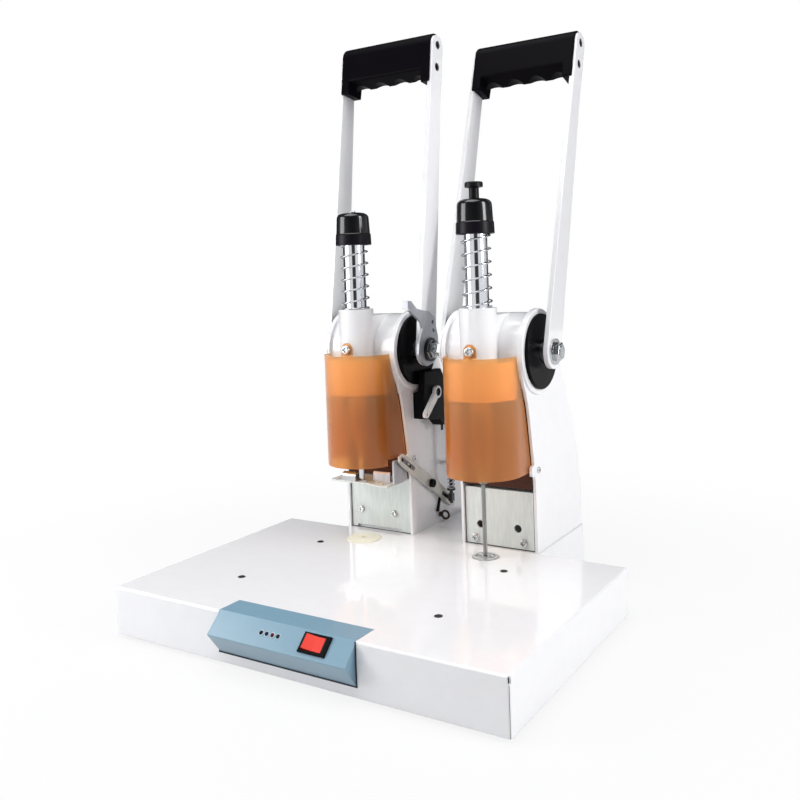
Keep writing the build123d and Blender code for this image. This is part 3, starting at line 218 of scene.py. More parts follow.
# soft_edge: rounds the look of a folded or cut edge and says where the edges are
soft_edge = bpy.data.node_groups.new("soft_edge", "ShaderNodeTree")
group_socket(soft_edge, "Radius", "INPUT", "NodeSocketFloat", 0.0006)
group_socket(soft_edge, "Edge", "OUTPUT", "NodeSocketFloat")
group_socket(soft_edge, "Normal", "OUTPUT", "NodeSocketVector")
g_in = soft_edge.nodes.new("NodeGroupInput")
g_out = soft_edge.nodes.new("NodeGroupOutput")
g_bevel = soft_edge.nodes.new("ShaderNodeBevel")
g_bevel.samples = 4
g_geo = soft_edge.nodes.new("ShaderNodeNewGeometry")
g_dot = soft_edge.nodes.new("ShaderNodeVectorMath")
g_dot.operation = "DOT_PRODUCT"
g_map = soft_edge.nodes.new("ShaderNodeMapRange")
g_map.inputs["From Min"].default_value = 0.995
g_map.inputs["From Max"].default_value = 0.80
soft_edge.links.new(g_in.outputs["Radius"], g_bevel.inputs["Radius"])
soft_edge.links.new(g_bevel.outputs[0], g_dot.inputs[0])
soft_edge.links.new(g_geo.outputs["Normal"], g_dot.inputs[1])
soft_edge.links.new(g_dot.outputs["Value"], g_map.inputs["Value"])
soft_edge.links.new(g_map.outputs[0], g_out.inputs["Edge"])
soft_edge.links.new(g_bevel.outputs[0], g_out.inputs["Normal"])

# fine_grain: noise stretched along an axis, as a height and as a soft mask
fine_grain = bpy.data.node_groups.new("fine_grain", "ShaderNodeTree")
group_socket(fine_grain, "Stretch", "INPUT", "NodeSocketVector", (1, 1, 1))
group_socket(fine_grain, "Scale", "INPUT", "NodeSocketFloat", 800.0)
group_socket(fine_grain, "Detail", "INPUT", "NodeSocketFloat", 3.0)
group_socket(fine_grain, "Low", "INPUT", "NodeSocketFloat", 0.0)
group_socket(fine_grain, "High", "INPUT", "NodeSocketFloat", 1.0)
group_socket(fine_grain, "Value", "OUTPUT", "NodeSocketFloat")
g_in = fine_grain.nodes.new("NodeGroupInput")
g_out = fine_grain.nodes.new("NodeGroupOutput")
g_at = fine_grain.nodes.new("ShaderNodeTexCoord")
g_pull = fine_grain.nodes.new("ShaderNodeVectorMath")
g_pull.operation = "MULTIPLY"
g_noise = fine_grain.nodes.new("ShaderNodeTexNoise")
g_map = fine_grain.nodes.new("ShaderNodeMapRange")
g_map.inputs["From Min"].default_value = 0.3
g_map.inputs["From Max"].default_value = 0.7
fine_grain.links.new(g_at.outputs["Object"], g_pull.inputs[0])
fine_grain.links.new(g_in.outputs["Stretch"], g_pull.inputs[1])
fine_grain.links.new(g_pull.outputs[0], g_noise.inputs["Vector"])
fine_grain.links.new(g_in.outputs["Scale"], g_noise.inputs["Scale"])
fine_grain.links.new(g_in.outputs["Detail"], g_noise.inputs["Detail"])
fine_grain.links.new(g_noise.outputs["Fac"], g_map.inputs["Value"])
fine_grain.links.new(g_in.outputs["Low"], g_map.inputs["To Min"])
fine_grain.links.new(g_in.outputs["High"], g_map.inputs["To Max"])
fine_grain.links.new(g_map.outputs[0], g_out.inputs["Value"])


def finish_of(name, colour, rough=0.4, metal=0.0, coat=0.0, coat_rough=0.05, edge=0.0005, edge_colour=None,
              edge_amount=0.3, grain=(1, 1, 1), grain_scale=900.0, bump=0.0, bump_depth=0.00005,
              rough_swing=0.08, colour_swing=0.04, cloud_scale=25.0, ior=1.5, specular=0.5):
    """A finish with rounded edges, fine grain in its relief, and cloudy changes of tone and gloss."""
    m = bpy.data.materials.new(name)
    m.use_nodes = True
    t = m.node_tree
    shader = t.nodes["Principled BSDF"]
    shader.inputs["IOR"].default_value = ior
    shader.inputs["Specular IOR Level"].default_value = specular
    shader.inputs["Metallic"].default_value = metal
    shader.inputs["Coat Weight"].default_value = coat
    shader.inputs["Coat Roughness"].default_value = coat_rough
    rim = t.nodes.new("ShaderNodeGroup")
    rim.node_tree = soft_edge
    rim.inputs["Radius"].default_value = edge
    shader.inputs["Roughness"].default_value = rough
    if rough_swing > 0:
        clouds = t.nodes.new("ShaderNodeGroup")
        clouds.node_tree = fine_grain
        clouds.inputs["Scale"].default_value = cloud_scale
        clouds.inputs["Low"].default_value = rough - rough_swing / 2
        clouds.inputs["High"].default_value = rough + rough_swing / 2
        t.links.new(clouds.outputs["Value"], shader.inputs["Roughness"])
    tone = t.nodes.new("ShaderNodeGroup")
    tone.node_tree = fine_grain
    tone.inputs["Scale"].default_value = grain_scale if metal > 0.5 else cloud_scale * 3
    tone.inputs["Stretch"].default_value = grain
    base = t.nodes.new("ShaderNodeMix")
    base.data_type = "RGBA"
    light = tuple(min(1.0, c * (1 + colour_swing)) for c in colour[:3]) + (1,)
    dark = tuple(c * (1 - colour_swing) for c in colour[:3]) + (1,)
    base.inputs["A"].default_value = dark
    base.inputs["B"].default_value = light
    t.links.new(tone.outputs["Value"], base.inputs["Factor"])
    # the edge colour is laid over the edges: wear on some finishes, and on others a painted highlight along
    # the edges of dark finishes and painted shade along the edges of pale ones
    wear_and_edge_shade = t.nodes.new("ShaderNodeMix")
    wear_and_edge_shade.data_type = "RGBA"
    wear_and_edge_shade.inputs["B"].default_value = edge_colour or light
    share = t.nodes.new("ShaderNodeMath")
    share.operation = "MULTIPLY"
    share.inputs[1].default_value = edge_amount
    t.links.new(rim.outputs["Edge"], share.inputs[0])
    t.links.new(share.outputs[0], wear_and_edge_shade.inputs["Factor"])
    t.links.new(base.outputs["Result"], wear_and_edge_shade.inputs["A"])
    t.links.new(wear_and_edge_shade.outputs["Result"], shader.inputs["Base Color"])
    if bump > 0:
        relief = t.nodes.new("ShaderNodeGroup")
        relief.node_tree = fine_grain
        relief.inputs["Scale"].default_value = grain_scale
        relief.inputs["Stretch"].default_value = grain
        lift = t.nodes.new("ShaderNodeBump")
        lift.inputs["Strength"].default_value = bump
        lift.inputs["Distance"].default_value = bump_depth
        t.links.new(relief.outputs["Value"], lift.inputs["Height"])
        t.links.new(rim.outputs["Normal"], lift.inputs["Normal"])
        t.links.new(lift.outputs["Normal"], shader.inputs["Normal"])
    else:
        t.links.new(rim.outputs["Normal"], shader.inputs["Normal"])
    return m


def dress(material, *names):
    """Give CAD pieces a material through their own slots."""
    for n in names:
        for s in node[n].material_slots:
            s.link = "OBJECT"
            s.material = material


def piece_of(mesh, name, material, smooth=False):
    """A finished bmesh as an object of one material."""
    bmesh.ops.recalc_face_normals(mesh, faces=mesh.faces)
    data = bpy.data.meshes.new(name)
    mesh.to_mesh(data)
    mesh.free()
    if smooth:
        data.shade_smooth()
    data.materials.append(material)
    piece = bpy.data.objects.new(name, data)
    bpy.context.collection.objects.link(piece)
    return piece


def solid_of(name, material, outlines, body):
    """Closed pieces, each between two outlines of the same count, as one object riding on a body."""
    mesh = bmesh.new()
    for low, high in outlines:
        a = [mesh.verts.new(p) for p in low]
        b = [mesh.verts.new(p) for p in high]
        mesh.faces.new(a[::-1])
        mesh.faces.new(b)
        for i in range(len(a)):
            j = (i + 1) % len(a)
            mesh.faces.new((a[i], a[j], b[j], b[i]))
    piece = piece_of(mesh, name, material)
    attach(piece, body)
    return piece


enamel = finish_of("white_gloss_enamel", paint(240, 240, 242), rough=0.30, coat=0.9, coat_rough=0.06,
                   edge=0.0009, edge_amount=0.0, bump=0.25, bump_depth=0.00003, grain_scale=420,
                   colour_swing=0.012, rough_swing=0)
dress(enamel, "base_cover")

# a fine seam runs down the table's front right corner, where the folded ends meet
seam_line = finish_of("corner_seam", paint(112, 102, 96), rough=0.6, grain_scale=900, colour_swing=0.1)
low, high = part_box("base_cover")
seam_w, seam_t = 0.00045, 0.00008
seam_x, seam_y = high[0] - 0.0008, low[1]
seam_round = [(seam_x, seam_y), (seam_x + seam_w, seam_y), (seam_x + seam_w, seam_y - seam_t),
              (seam_x, seam_y - seam_t)]
foot, top = ([(x, y, low[2] + rise) for x, y in seam_round] for rise in (0.0005, 0.0395))
solid_of("corner_seam", seam_line, [(foot, top)], "base")

# ---- Bottom plate and feet ------------------------------------------------------
# Galvanised sheet screwed in from below, on six turned rubber feet.
galvanised = finish_of("galvanised_sheet", paint(176, 180, 184), rough=0.42, metal=0.9, grain_scale=160,
                       colour_swing=0.12, bump=0.1, rough_swing=0.15)
foot_rubber = finish_of("foot_rubber", paint(34, 34, 35), rough=0.72, grain_scale=1400, bump=0.4,
                        bump_depth=0.0001, colour_swing=0.15)
dress(galvanised, "bottom_plate")
dress(foot_rubber, "feet")

# ---- Table screws and pads ------------------------------------------------------
# Blackened countersunk screws, an ivory nylon pad under the riveting head and a
# bright steel ring with flutes round the drill's hole, its flute edges painted dark as shade.
black_screw = finish_of("blackened_screw", paint(66, 66, 70), rough=0.38, metal=0.8,
                        edge_colour=paint(150, 152, 156), edge_amount=0.6, grain_scale=1800, bump=0.2)
ivory_nylon = finish_of("ivory_nylon", paint(232, 231, 214), rough=0.42, coat=0.1,
                        edge_colour=paint(204, 202, 182), edge_amount=0.5, grain_scale=1500, bump=0.2,
                        colour_swing=0.02)
pad_steel = finish_of("fluted_pad_steel", paint(206, 208, 210), rough=0.30, metal=0.55, edge=0.0011,
                      edge_colour=paint(16, 16, 18), edge_amount=1.0, grain_scale=1500, bump=0.2)
dress(black_screw, "table_screws")
dress(ivory_nylon, "rivet_die_pad")
dress(pad_steel, "drill_pad")

# ---- Control panel --------------------------------------------------------------
# An extruded aluminium nose sprayed blue-grey satin, with a dark strip of painted shade in
# its joint with the table, with four lamps in rims and a lit rocker in a black snap-in frame.
panel_blue = finish_of("blue_grey_satin", paint(119, 153, 172), rough=0.34, coat=0.25, coat_rough=0.2,
                       edge=0.0007, edge_colour=paint(190, 208, 218), edge_amount=0.6, grain_scale=1300,
                       bump=0.35, bump_depth=0.00004, colour_swing=0.02)
lamp_dark = finish_of("lamp_lens", paint(20, 26, 44), rough=0.30, specular=0.18, edge=0.0003,
                      colour_swing=0.02)
# lamp_tints: each unlit lamp has its own dark tint, in their order along the row
lamp_tints = bpy.data.node_groups.new("lamp_tints", "ShaderNodeTree")
group_socket(lamp_tints, "Color", "OUTPUT", "NodeSocketColor")
g_out = lamp_tints.nodes.new("NodeGroupOutput")
g_at = lamp_tints.nodes.new("ShaderNodeTexCoord")
g_axes = lamp_tints.nodes.new("ShaderNodeSeparateXYZ")
g_row = lamp_tints.nodes.new("ShaderNodeValToRGB")
g_row.color_ramp.interpolation = "CONSTANT"
for at, tint in ((0.0, (9, 12, 22)), (0.25, (12, 22, 52)), (0.5, (80, 12, 36)), (0.75, (4, 32, 30))):
    stop = g_row.color_ramp.elements[0] if at == 0.0 else g_row.color_ramp.elements.new(at)
    stop.color = paint(*tint)
lamp_tints.links.new(g_at.outputs["Generated"], g_axes.inputs[0])
lamp_tints.links.new(g_axes.outputs["X"], g_row.inputs["Fac"])
lamp_tints.links.new(g_row.outputs["Color"], g_out.inputs["Color"])
t = lamp_dark.node_tree
row = t.nodes.new("ShaderNodeGroup")
row.node_tree = lamp_tints
t.links.new(row.outputs["Color"], t.nodes["Principled BSDF"].inputs["Base Color"])
frame_black = finish_of("frame_black", paint(11, 10, 13), rough=0.42, specular=0.07, grain_scale=2400,
                        bump=0.25, edge=0.0006, edge_colour=paint(44, 43, 50), edge_amount=0.4)
rocker_red = finish_of("rocker_red", paint(232, 48, 34), rough=0.30, coat=0.12, specular=0.25, edge=0.0006,
                       colour_swing=0.03)
dress(panel_blue, "control_panel")
# four domed lamps in pale rims, set square to the panel's slope
slope_y, slope_z = 0.7332, 0.6802       # the slope's direction, front to back and up
frame_y, frame_z = -0.056875, 0.004     # from the drawing's zero to the frame's
row_y, row_z, row_up = -0.141, 0.03785, 0.0005
lamp_at = [(x, row_y + frame_y + row_up * slope_y, row_z + frame_z + row_up * slope_z)
           for x in (-0.0192, -0.0131, -0.0070, -0.0009)]


def skin(mesh, rings, closed=False):
    """Faces from each ring of points to the next, and from the last to the first if closed."""
    for p, q in zip(rings, rings[1:] + rings[:1] if closed else rings[1:]):
        for k in range(len(p)):
            mesh.faces.new((p[k], p[(k + 1) % len(p)], q[(k + 1) % len(p)], q[k]))


def turned_on_slope(name, material, rings, places, body, steps=20):
    """Lathe a closed line of (radius, height) about the panel's normal at each place."""
    mesh = bmesh.new()
    for cx, cy, cz in places:
        loops = []
        for radius, height in rings:
            spots = [(radius * math.cos(2 * math.pi * k / steps), radius * math.sin(2 * math.pi * k / steps))
                     for k in range(steps)]
            loops.append([mesh.verts.new((cx + u, cy + v * slope_y - height * slope_z,
                                          cz + v * slope_z + height * slope_y)) for u, v in spots])
        skin(mesh, loops, closed=True)
    piece = piece_of(mesh, name, material, smooth=True)
    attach(piece, body)
    return piece


dome = [(0.0001, 0.0012), (0.0009, 0.0011), (0.0015, 0.0008), (0.0019, 0.0001), (0.0019, -0.0004),
        (0.0001, -0.0004)]
lamp_domes = turned_on_slope("lamp_domes", lamp_dark, dome, lamp_at, "base")
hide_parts("status_leds")
lamp_rim = finish_of("lamp_rim", paint(182, 202, 214), rough=0.35, coat=0.2, edge=0.0002, colour_swing=0.02)
turned_on_slope("lamp_rims", lamp_rim, [(0.0019, 0.0), (0.0020, 0.0003), (0.0024, 0.0004), (0.0028, 0.0)],
                lamp_at, "base")
dress(frame_black, "rocker_frame")
# key_painted_shade: painted light and shade on the key: the half pressed down is painted darker, as
# in the frame's shade, the raised half paler, and each end is painted dark as the shade of a gap
key_painted_shade = bpy.data.node_groups.new("key_painted_shade", "ShaderNodeTree")
group_socket(key_painted_shade, "Color", "OUTPUT", "NodeSocketColor")
g_out = key_painted_shade.nodes.new("NodeGroupOutput")
g_at = key_painted_shade.nodes.new("ShaderNodeTexCoord")
g_axes = key_painted_shade.nodes.new("ShaderNodeSeparateXYZ")
g_tone = key_painted_shade.nodes.new("ShaderNodeValToRGB")
g_tone.color_ramp.elements[0].position = 0.46
g_tone.color_ramp.elements[0].color = paint(222, 46, 24)
g_tone.color_ramp.elements[1].position = 0.54
g_tone.color_ramp.elements[1].color = paint(226, 66, 54)
g_end_shade = key_painted_shade.nodes.new("ShaderNodeValToRGB")
g_end_shade.color_ramp.interpolation = "CONSTANT"
# painted shade: the dark at each end of the key stands in for a shadowed gap
gap_painted_shade = (0.004, 0.003, 0.004, 1)
g_end_shade.color_ramp.elements[0].color = gap_painted_shade
g_end_shade.color_ramp.elements[1].position = 0.07
g_end_shade.color_ramp.elements.new(0.91).color = gap_painted_shade
g_both = key_painted_shade.nodes.new("ShaderNodeMix")
g_both.data_type = "RGBA"
g_both.blend_type = "MULTIPLY"
g_both.inputs["Factor"].default_value = 1.0
key_painted_shade.links.new(g_at.outputs["Generated"], g_axes.inputs[0])
key_painted_shade.links.new(g_axes.outputs["X"], g_tone.inputs["Fac"])
key_painted_shade.links.new(g_axes.outputs["X"], g_end_shade.inputs["Fac"])
key_painted_shade.links.new(g_tone.outputs["Color"], g_both.inputs["A"])
key_painted_shade.links.new(g_end_shade.outputs["Color"], g_both.inputs["B"])
key_painted_shade.links.new(g_both.outputs["Result"], g_out.inputs["Color"])
t = rocker_red.node_tree
halves = t.nodes.new("ShaderNodeGroup")
halves.node_tree = key_painted_shade
t.links.new(halves.outputs["Color"], t.nodes["Principled BSDF"].inputs["Base Color"])
dress(rocker_red, "rocker_key")

# painted shade: a dark strip fills the joint between the nose and the table's front, standing in for the
# shade in the gap
low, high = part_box("control_panel")
table_low, table_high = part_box("base_cover")
front = table_low[1]
painted_shade_strip = finish_of("painted_shade_strip", paint(52, 58, 66), rough=0.6, specular=0.3, grain_scale=1500, bump=0.2)
x0, x1, z0, z1 = low[0], high[0], low[2], table_high[2]
rim_w, rim_t, short = 0.0011, 0.0005, 0.006      # the left strip stops short of the table's edge


def strips(name, front_y, gauge, spans, body):
    """Flat dark strips of painted shade in front of an upright face, each from one corner (x, z) to the
    other.
    """
    rounds = [((a, c), (b, c), (b, d), (a, d)) for a, b, c, d in spans]
    solids = [([(x, front_y - gauge, z) for x, z in r], [(x, front_y, z) for x, z in r]) for r in rounds]
    return solid_of(name, painted_shade_strip, solids, body)


strips("panel_joint_shade", front, rim_t, [(x1, x1 + rim_w, z0 - rim_w, z1),
                                    (x0 - rim_w, x0, z0 - rim_w, z1 - short),
                                    (x0, x1, z0 - rim_w, z0)], "base")

# ---- Inside and behind the base ---------------------------------------------------
# A laminated transformer bolted to the bottom plate and a mains inlet at the back.
core_varnish = finish_of("varnished_core", paint(60, 52, 46), rough=0.5, metal=0.3, grain=(1, 1, 40),
                         grain_scale=60, bump=0.4)
dress(core_varnish, "transformer")
dress(frame_black, "mains_inlet")

# ---- Columns and foot plates ------------------------------------------------------
# Folded 3 mm channels in the same enamel, closed at the foot by zinc-plated
# plates edged with dark strips of painted shade, held with pan screws.
dress(enamel, "column_left", "column_right")
zinc = finish_of("zinc_plate", paint(224, 230, 227), rough=0.50, metal=0.25, edge=0.0005,
                 edge_colour=paint(92, 96, 100), edge_amount=0.9, grain=(6, 6, 1), grain_scale=26, bump=0.12,
                 bump_depth=0.00003, colour_swing=0.06, rough_swing=0.14, cloud_scale=18)
bright_screw = finish_of("bright_screw", paint(212, 213, 214), rough=0.24, metal=0.85, edge=0.0005,
                         edge_colour=paint(60, 62, 64), edge_amount=0.8, grain_scale=2500, bump=0.15)
dress(zinc, "foot_plate_left", "foot_plate_right")
dress(bright_screw, "pan_screws", "column_bolts")
# painted shade: a dark strip runs along the edges of each foot plate, standing in for the shade in the gap
# round it
for side, right_w, foot_w, left_w in (("left", 0.0006, 0.0007, 0.0006), ("right", 0.0015, 0.0008, 0.0007)):
    low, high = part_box(f"foot_plate_{side}")
    x0, x1, z0, z1 = low[0], high[0], low[2], high[2]
    strips(f"plate_edge_shade_{side}", low[1], 0.0002, [(x0, x0 + left_w, z0 + foot_w, z1),
                                                    (x1 - right_w, x1, z0 + foot_w, z1),
                                                    (x0, x1, z0, z0 + foot_w)], "base")

# ---- Heads and end discs ------------------------------------------------------------
# Castings in the same white, bored for the ram and the handle's shaft, with a
# black moulded disc in each flange.
dress(enamel, "head_left", "head_right")
disc_black = finish_of("disc_black", paint(8, 7, 10), rough=0.30, specular=0.05, edge=0.0008,
                       edge_colour=paint(70, 72, 78), edge_amount=0.4, grain_scale=1800, bump=0.2)
dress(disc_black, "barrel_discs")

# ---- Guards -----------------------------------------------------------------------
# Half-round shields bent from 2 mm frosted amber sheet. Behind each sheet hang a
# white apron, down to just above the tool, and a dark brown sheet of painted shade for the dark inside.
amber = bpy.data.materials.new("amber_sheet")
amber.use_nodes = True
t = amber.node_tree
shader = t.nodes["Principled BSDF"]
shader.inputs["Roughness"].default_value = 0.30
shader.inputs["IOR"].default_value = 1.30
shader.inputs["Transmission Weight"].default_value = 0.76
shader.inputs["Coat Weight"].default_value = 0.5
shader.inputs["Coat Roughness"].default_value = 0.10
# the sheet tints the lamps' light on its way through and doesn't block it
lets_by = t.nodes.new("ShaderNodeBsdfTransparent")
lets_by.inputs["Color"].default_value = paint(251, 236, 218)
path = t.nodes.new("ShaderNodeLightPath")
either = t.nodes.new("ShaderNodeMixShader")
t.links.new(path.outputs["Is Shadow Ray"], either.inputs["Fac"])
t.links.new(shader.outputs[0], either.inputs[1])
t.links.new(lets_by.outputs[0], either.inputs[2])
t.links.new(either.outputs[0], t.nodes["Material Output"].inputs["Surface"])
tone = t.nodes.new("ShaderNodeGroup")
tone.node_tree = fine_grain
tone.inputs["Scale"].default_value = 16.0
tone.inputs["Stretch"].default_value = (1, 1, 0.3)
mix = t.nodes.new("ShaderNodeMix")
mix.data_type = "RGBA"
mix.inputs["A"].default_value = paint(219, 148, 74)
mix.inputs["B"].default_value = paint(227, 158, 84)
t.links.new(tone.outputs["Value"], mix.inputs["Factor"])
# painted light: the tint is painted paler towards the top of the sheet, standing in for the lit parts behind
# it there
where = t.nodes.new("ShaderNodeTexCoord")
axes = t.nodes.new("ShaderNodeSeparateXYZ")
rise = t.nodes.new("ShaderNodeMapRange")
rise.interpolation_type = "SMOOTHSTEP"
rise.inputs["From Min"].default_value = 0.25
rise.inputs["From Max"].default_value = 0.90
painted_top_light = t.nodes.new("ShaderNodeMix")
painted_top_light.data_type = "RGBA"
painted_top_light.inputs["B"].default_value = paint(232, 180, 114)
t.links.new(where.outputs["Generated"], axes.inputs[0])
t.links.new(axes.outputs["Z"], rise.inputs["Value"])
t.links.new(rise.outputs[0], painted_top_light.inputs["Factor"])
t.links.new(mix.outputs["Result"], painted_top_light.inputs["A"])
t.links.new(painted_top_light.outputs["Result"], shader.inputs["Base Color"])
rim = t.nodes.new("ShaderNodeGroup")
rim.node_tree = soft_edge
rim.inputs["Radius"].default_value = 0.0006
t.links.new(rim.outputs["Normal"], shader.inputs["Normal"])
dress(amber, "shield_left", "shield_right")
# painted shade: a dark brown sheet behind the tool stands in for the shade inside the column
shade_sheet_paint = finish_of("baffle_laminate", paint(70, 38, 24), rough=0.55, specular=0.25, grain=(1, 1, 8),
                         grain_scale=120, bump=0.15, colour_swing=0.12)


def bent_sheet(name, material, line, gauge, z0, z1, body):
    """A sheet of one gauge that stands on a bent line, as one closed piece."""
    outer = []
    for k, (x, y) in enumerate(line):
        before, after = line[max(k - 1, 0)], line[min(k + 1, len(line) - 1)]
        along = Vector((after[0] - before[0], after[1] - before[1])).normalized()
        outer.append((x + along.y * gauge, y - along.x * gauge))
    mesh = bmesh.new()
    at = [[mesh.verts.new((x, y, z)) for x, y in path] for z in (z0, z1) for path in (line, outer)]
    for k in range(len(line) - 1):
        for p, q in ((at[0], at[1]), (at[1], at[3]), (at[3], at[2]), (at[2], at[0])):
            mesh.faces.new((p[k], p[k + 1], q[k + 1], q[k]))
    mesh.faces.new([path[0] for path in (at[0], at[1], at[3], at[2])])
    mesh.faces.new([path[-1] for path in (at[0], at[2], at[3], at[1])])
    sheet = piece_of(mesh, name, material)
    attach(sheet, body)
    return sheet


inside = 0.0028                         # from a shield's outside to its apron
apron_gauge, apron_low, apron_high = 0.0008, 0.2135, 0.2520
shade_sheet_gauge, shade_sheet_low, shade_sheet_high, shade_sheet_half, shade_sheet_back = 0.0012, 0.1160, 0.2090, 0.0402, 0.0270
for side in ("left", "right"):
    low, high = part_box(f"shield_{side}")
    x, r = (low[0] + high[0]) / 2, (high[0] - low[0]) / 2 - inside
    y = low[1] + (high[0] - low[0]) / 2
    arc = [(x - r * math.cos(math.pi * i / 24), y - r * math.sin(math.pi * i / 24)) for i in range(25)]
    bent_sheet(f"apron_{side}", enamel, arc, -apron_gauge, apron_low, apron_high, "base")
    across = [(x + d, y + shade_sheet_back) for d in (-shade_sheet_half, 0, shade_sheet_half)]
    bent_sheet(f"baffle_{side}", shade_sheet_paint, across, shade_sheet_gauge, shade_sheet_low, shade_sheet_high, "base")

# ---- Handles ----------------------------------------------------------------------
# Two flat steel arms a side in white, joined at the top by a black moulded grip
# and at the bottom by the shaft that carries the pinion.
dress(enamel, "handle_arms_left", "handle_arms_right")
grip_black = finish_of("grip_black", paint(8, 6, 11), rough=0.42, specular=0.035, edge=0.0012,
                       edge_colour=paint(24, 21, 28), edge_amount=0.3, grain_scale=1400, bump=0.15)
dress(grip_black, "grip_left", "grip_right")
dress(black_screw, "grip_screws_left", "grip_screws_right")
pale_steel = paint(196, 198, 200)
turned = finish_of("turned_steel", pale_steel, rough=0.24, metal=1.0, edge=0.0004,
                   edge_colour=paint(110, 112, 114), edge_amount=0.35, grain=(12, 1, 1), grain_scale=300,
                   bump=0.1, colour_swing=0.06)
dress(turned, "shaft_left", "shaft_right", "shaft_nuts_right", "pinion_left", "pinion_right")
# outside_of: 0 inside a radius round an axis along X, 1 outside it
outside_of = bpy.data.node_groups.new("outside_of", "ShaderNodeTree")
group_socket(outside_of, "Centre", "INPUT", "NodeSocketVector", (0, 0, 0))
group_socket(outside_of, "Radius", "INPUT", "NodeSocketFloat", 0.01)
group_socket(outside_of, "Value", "OUTPUT", "NodeSocketFloat")
g_in = outside_of.nodes.new("NodeGroupInput")
g_out = outside_of.nodes.new("NodeGroupOutput")
g_at = outside_of.nodes.new("ShaderNodeTexCoord")
g_from = outside_of.nodes.new("ShaderNodeVectorMath")
g_from.operation = "SUBTRACT"
g_flat = outside_of.nodes.new("ShaderNodeVectorMath")
g_flat.operation = "MULTIPLY"
g_flat.inputs[1].default_value = (0, 1, 1)
g_far = outside_of.nodes.new("ShaderNodeVectorMath")
g_far.operation = "LENGTH"
g_over = outside_of.nodes.new("ShaderNodeMath")
g_over.operation = "GREATER_THAN"
outside_of.links.new(g_at.outputs["Object"], g_from.inputs[0])
outside_of.links.new(g_in.outputs["Centre"], g_from.inputs[1])
outside_of.links.new(g_from.outputs[0], g_flat.inputs[0])
outside_of.links.new(g_flat.outputs[0], g_far.inputs[0])
outside_of.links.new(g_far.outputs["Value"], g_over.inputs[0])
outside_of.links.new(g_in.outputs["Radius"], g_over.inputs[1])
outside_of.links.new(g_over.outputs[0], g_out.inputs["Value"])
# the left handle's nut piece is black and less metallic outside a 10 mm radius round its shaft
low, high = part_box("shaft_nuts_left")
nut_ring_finish = finish_of("nut_with_black_ring", pale_steel, rough=0.24, metal=1.0, edge=0.0004, grain_scale=300)
t = nut_ring_finish.node_tree
beyond = t.nodes.new("ShaderNodeGroup")
beyond.node_tree = outside_of
beyond.inputs["Centre"].default_value = (0, (low[1] + high[1]) / 2, (low[2] + high[2]) / 2)
beyond.inputs["Radius"].default_value = 0.0100
two = t.nodes.new("ShaderNodeMix")
two.data_type = "RGBA"
two.inputs["A"].default_value = pale_steel
two.inputs["B"].default_value = paint(12, 12, 14)
t.links.new(beyond.outputs["Value"], two.inputs["Factor"])
t.links.new(two.outputs["Result"], t.nodes["Principled BSDF"].inputs["Base Color"])
metal = t.nodes.new("ShaderNodeMapRange")
metal.inputs["To Min"].default_value = 1.0
metal.inputs["To Max"].default_value = 0.2
t.links.new(beyond.outputs["Value"], metal.inputs["Value"])
t.links.new(metal.outputs[0], t.nodes["Principled BSDF"].inputs["Metallic"])
dress(nut_ring_finish, "shaft_nuts_left")

# ---- Rams ---------------------------------------------------------------------------
# Hard-chromed rods under black caps, with a return spring round each, the rack
# let into the back, and the heated head or the drill motor below.
chrome = finish_of("hard_chrome", paint(214, 216, 220), rough=0.07, metal=1.0, edge=0.0004, grain_scale=900,
                   colour_swing=0.02, rough_swing=0.03)
spring_wire = finish_of("spring_wire", paint(200, 202, 206), rough=0.16, metal=1.0, edge=0.0002,
                        grain_scale=2000, colour_swing=0.05)
cap_black = finish_of("cap_black", paint(9, 8, 11), rough=0.36, specular=0.2, edge=0.0006,
                      edge_colour=paint(40, 40, 46), edge_amount=0.3, grain_scale=1600, bump=0.08)
# dome_zone: 0 on the matt skirt of a cap, 1 on the polished dome above it
dome_zone = bpy.data.node_groups.new("dome_zone", "ShaderNodeTree")
group_socket(dome_zone, "Value", "OUTPUT", "NodeSocketFloat")
group_socket(dome_zone, "Skirt", "OUTPUT", "NodeSocketColor")
g_out = dome_zone.nodes.new("NodeGroupOutput")
g_at = dome_zone.nodes.new("ShaderNodeTexCoord")
g_axes = dome_zone.nodes.new("ShaderNodeSeparateXYZ")
g_map = dome_zone.nodes.new("ShaderNodeMapRange")
g_map.inputs["From Min"].default_value = 0.325
g_map.inputs["From Max"].default_value = 0.345
g_tone = dome_zone.nodes.new("ShaderNodeValToRGB")
g_tone.color_ramp.elements[0].color = paint(15, 12, 20)
g_tone.color_ramp.elements[1].color = paint(4, 4, 6)
dome_zone.links.new(g_at.outputs["Generated"], g_axes.inputs[0])
dome_zone.links.new(g_axes.outputs["Z"], g_map.inputs["Value"])
dome_zone.links.new(g_map.outputs[0], g_out.inputs["Value"])
dome_zone.links.new(g_map.outputs[0], g_tone.inputs["Fac"])
dome_zone.links.new(g_tone.outputs["Color"], g_out.inputs["Skirt"])
cap_gloss = finish_of("cap_gloss", paint(9, 9, 11), rough=0.36, coat_rough=0.10, edge=0.0006, specular=0.15)
t = cap_gloss.node_tree
zone = t.nodes.new("ShaderNodeGroup")
zone.node_tree = dome_zone
t.links.new(zone.outputs["Value"], t.nodes["Principled BSDF"].inputs["Coat Weight"])
t.links.new(zone.outputs["Skirt"], t.nodes["Principled BSDF"].inputs["Base Color"])
head_brass = finish_of("heated_head_brass", paint(176, 150, 104), rough=0.35, metal=1.0, grain=(1, 1, 30),
                       grain_scale=200, colour_swing=0.1)
motor_can = finish_of("motor_can", paint(150, 152, 156), rough=0.3, metal=0.9, grain=(1, 1, 20),
                      grain_scale=250)
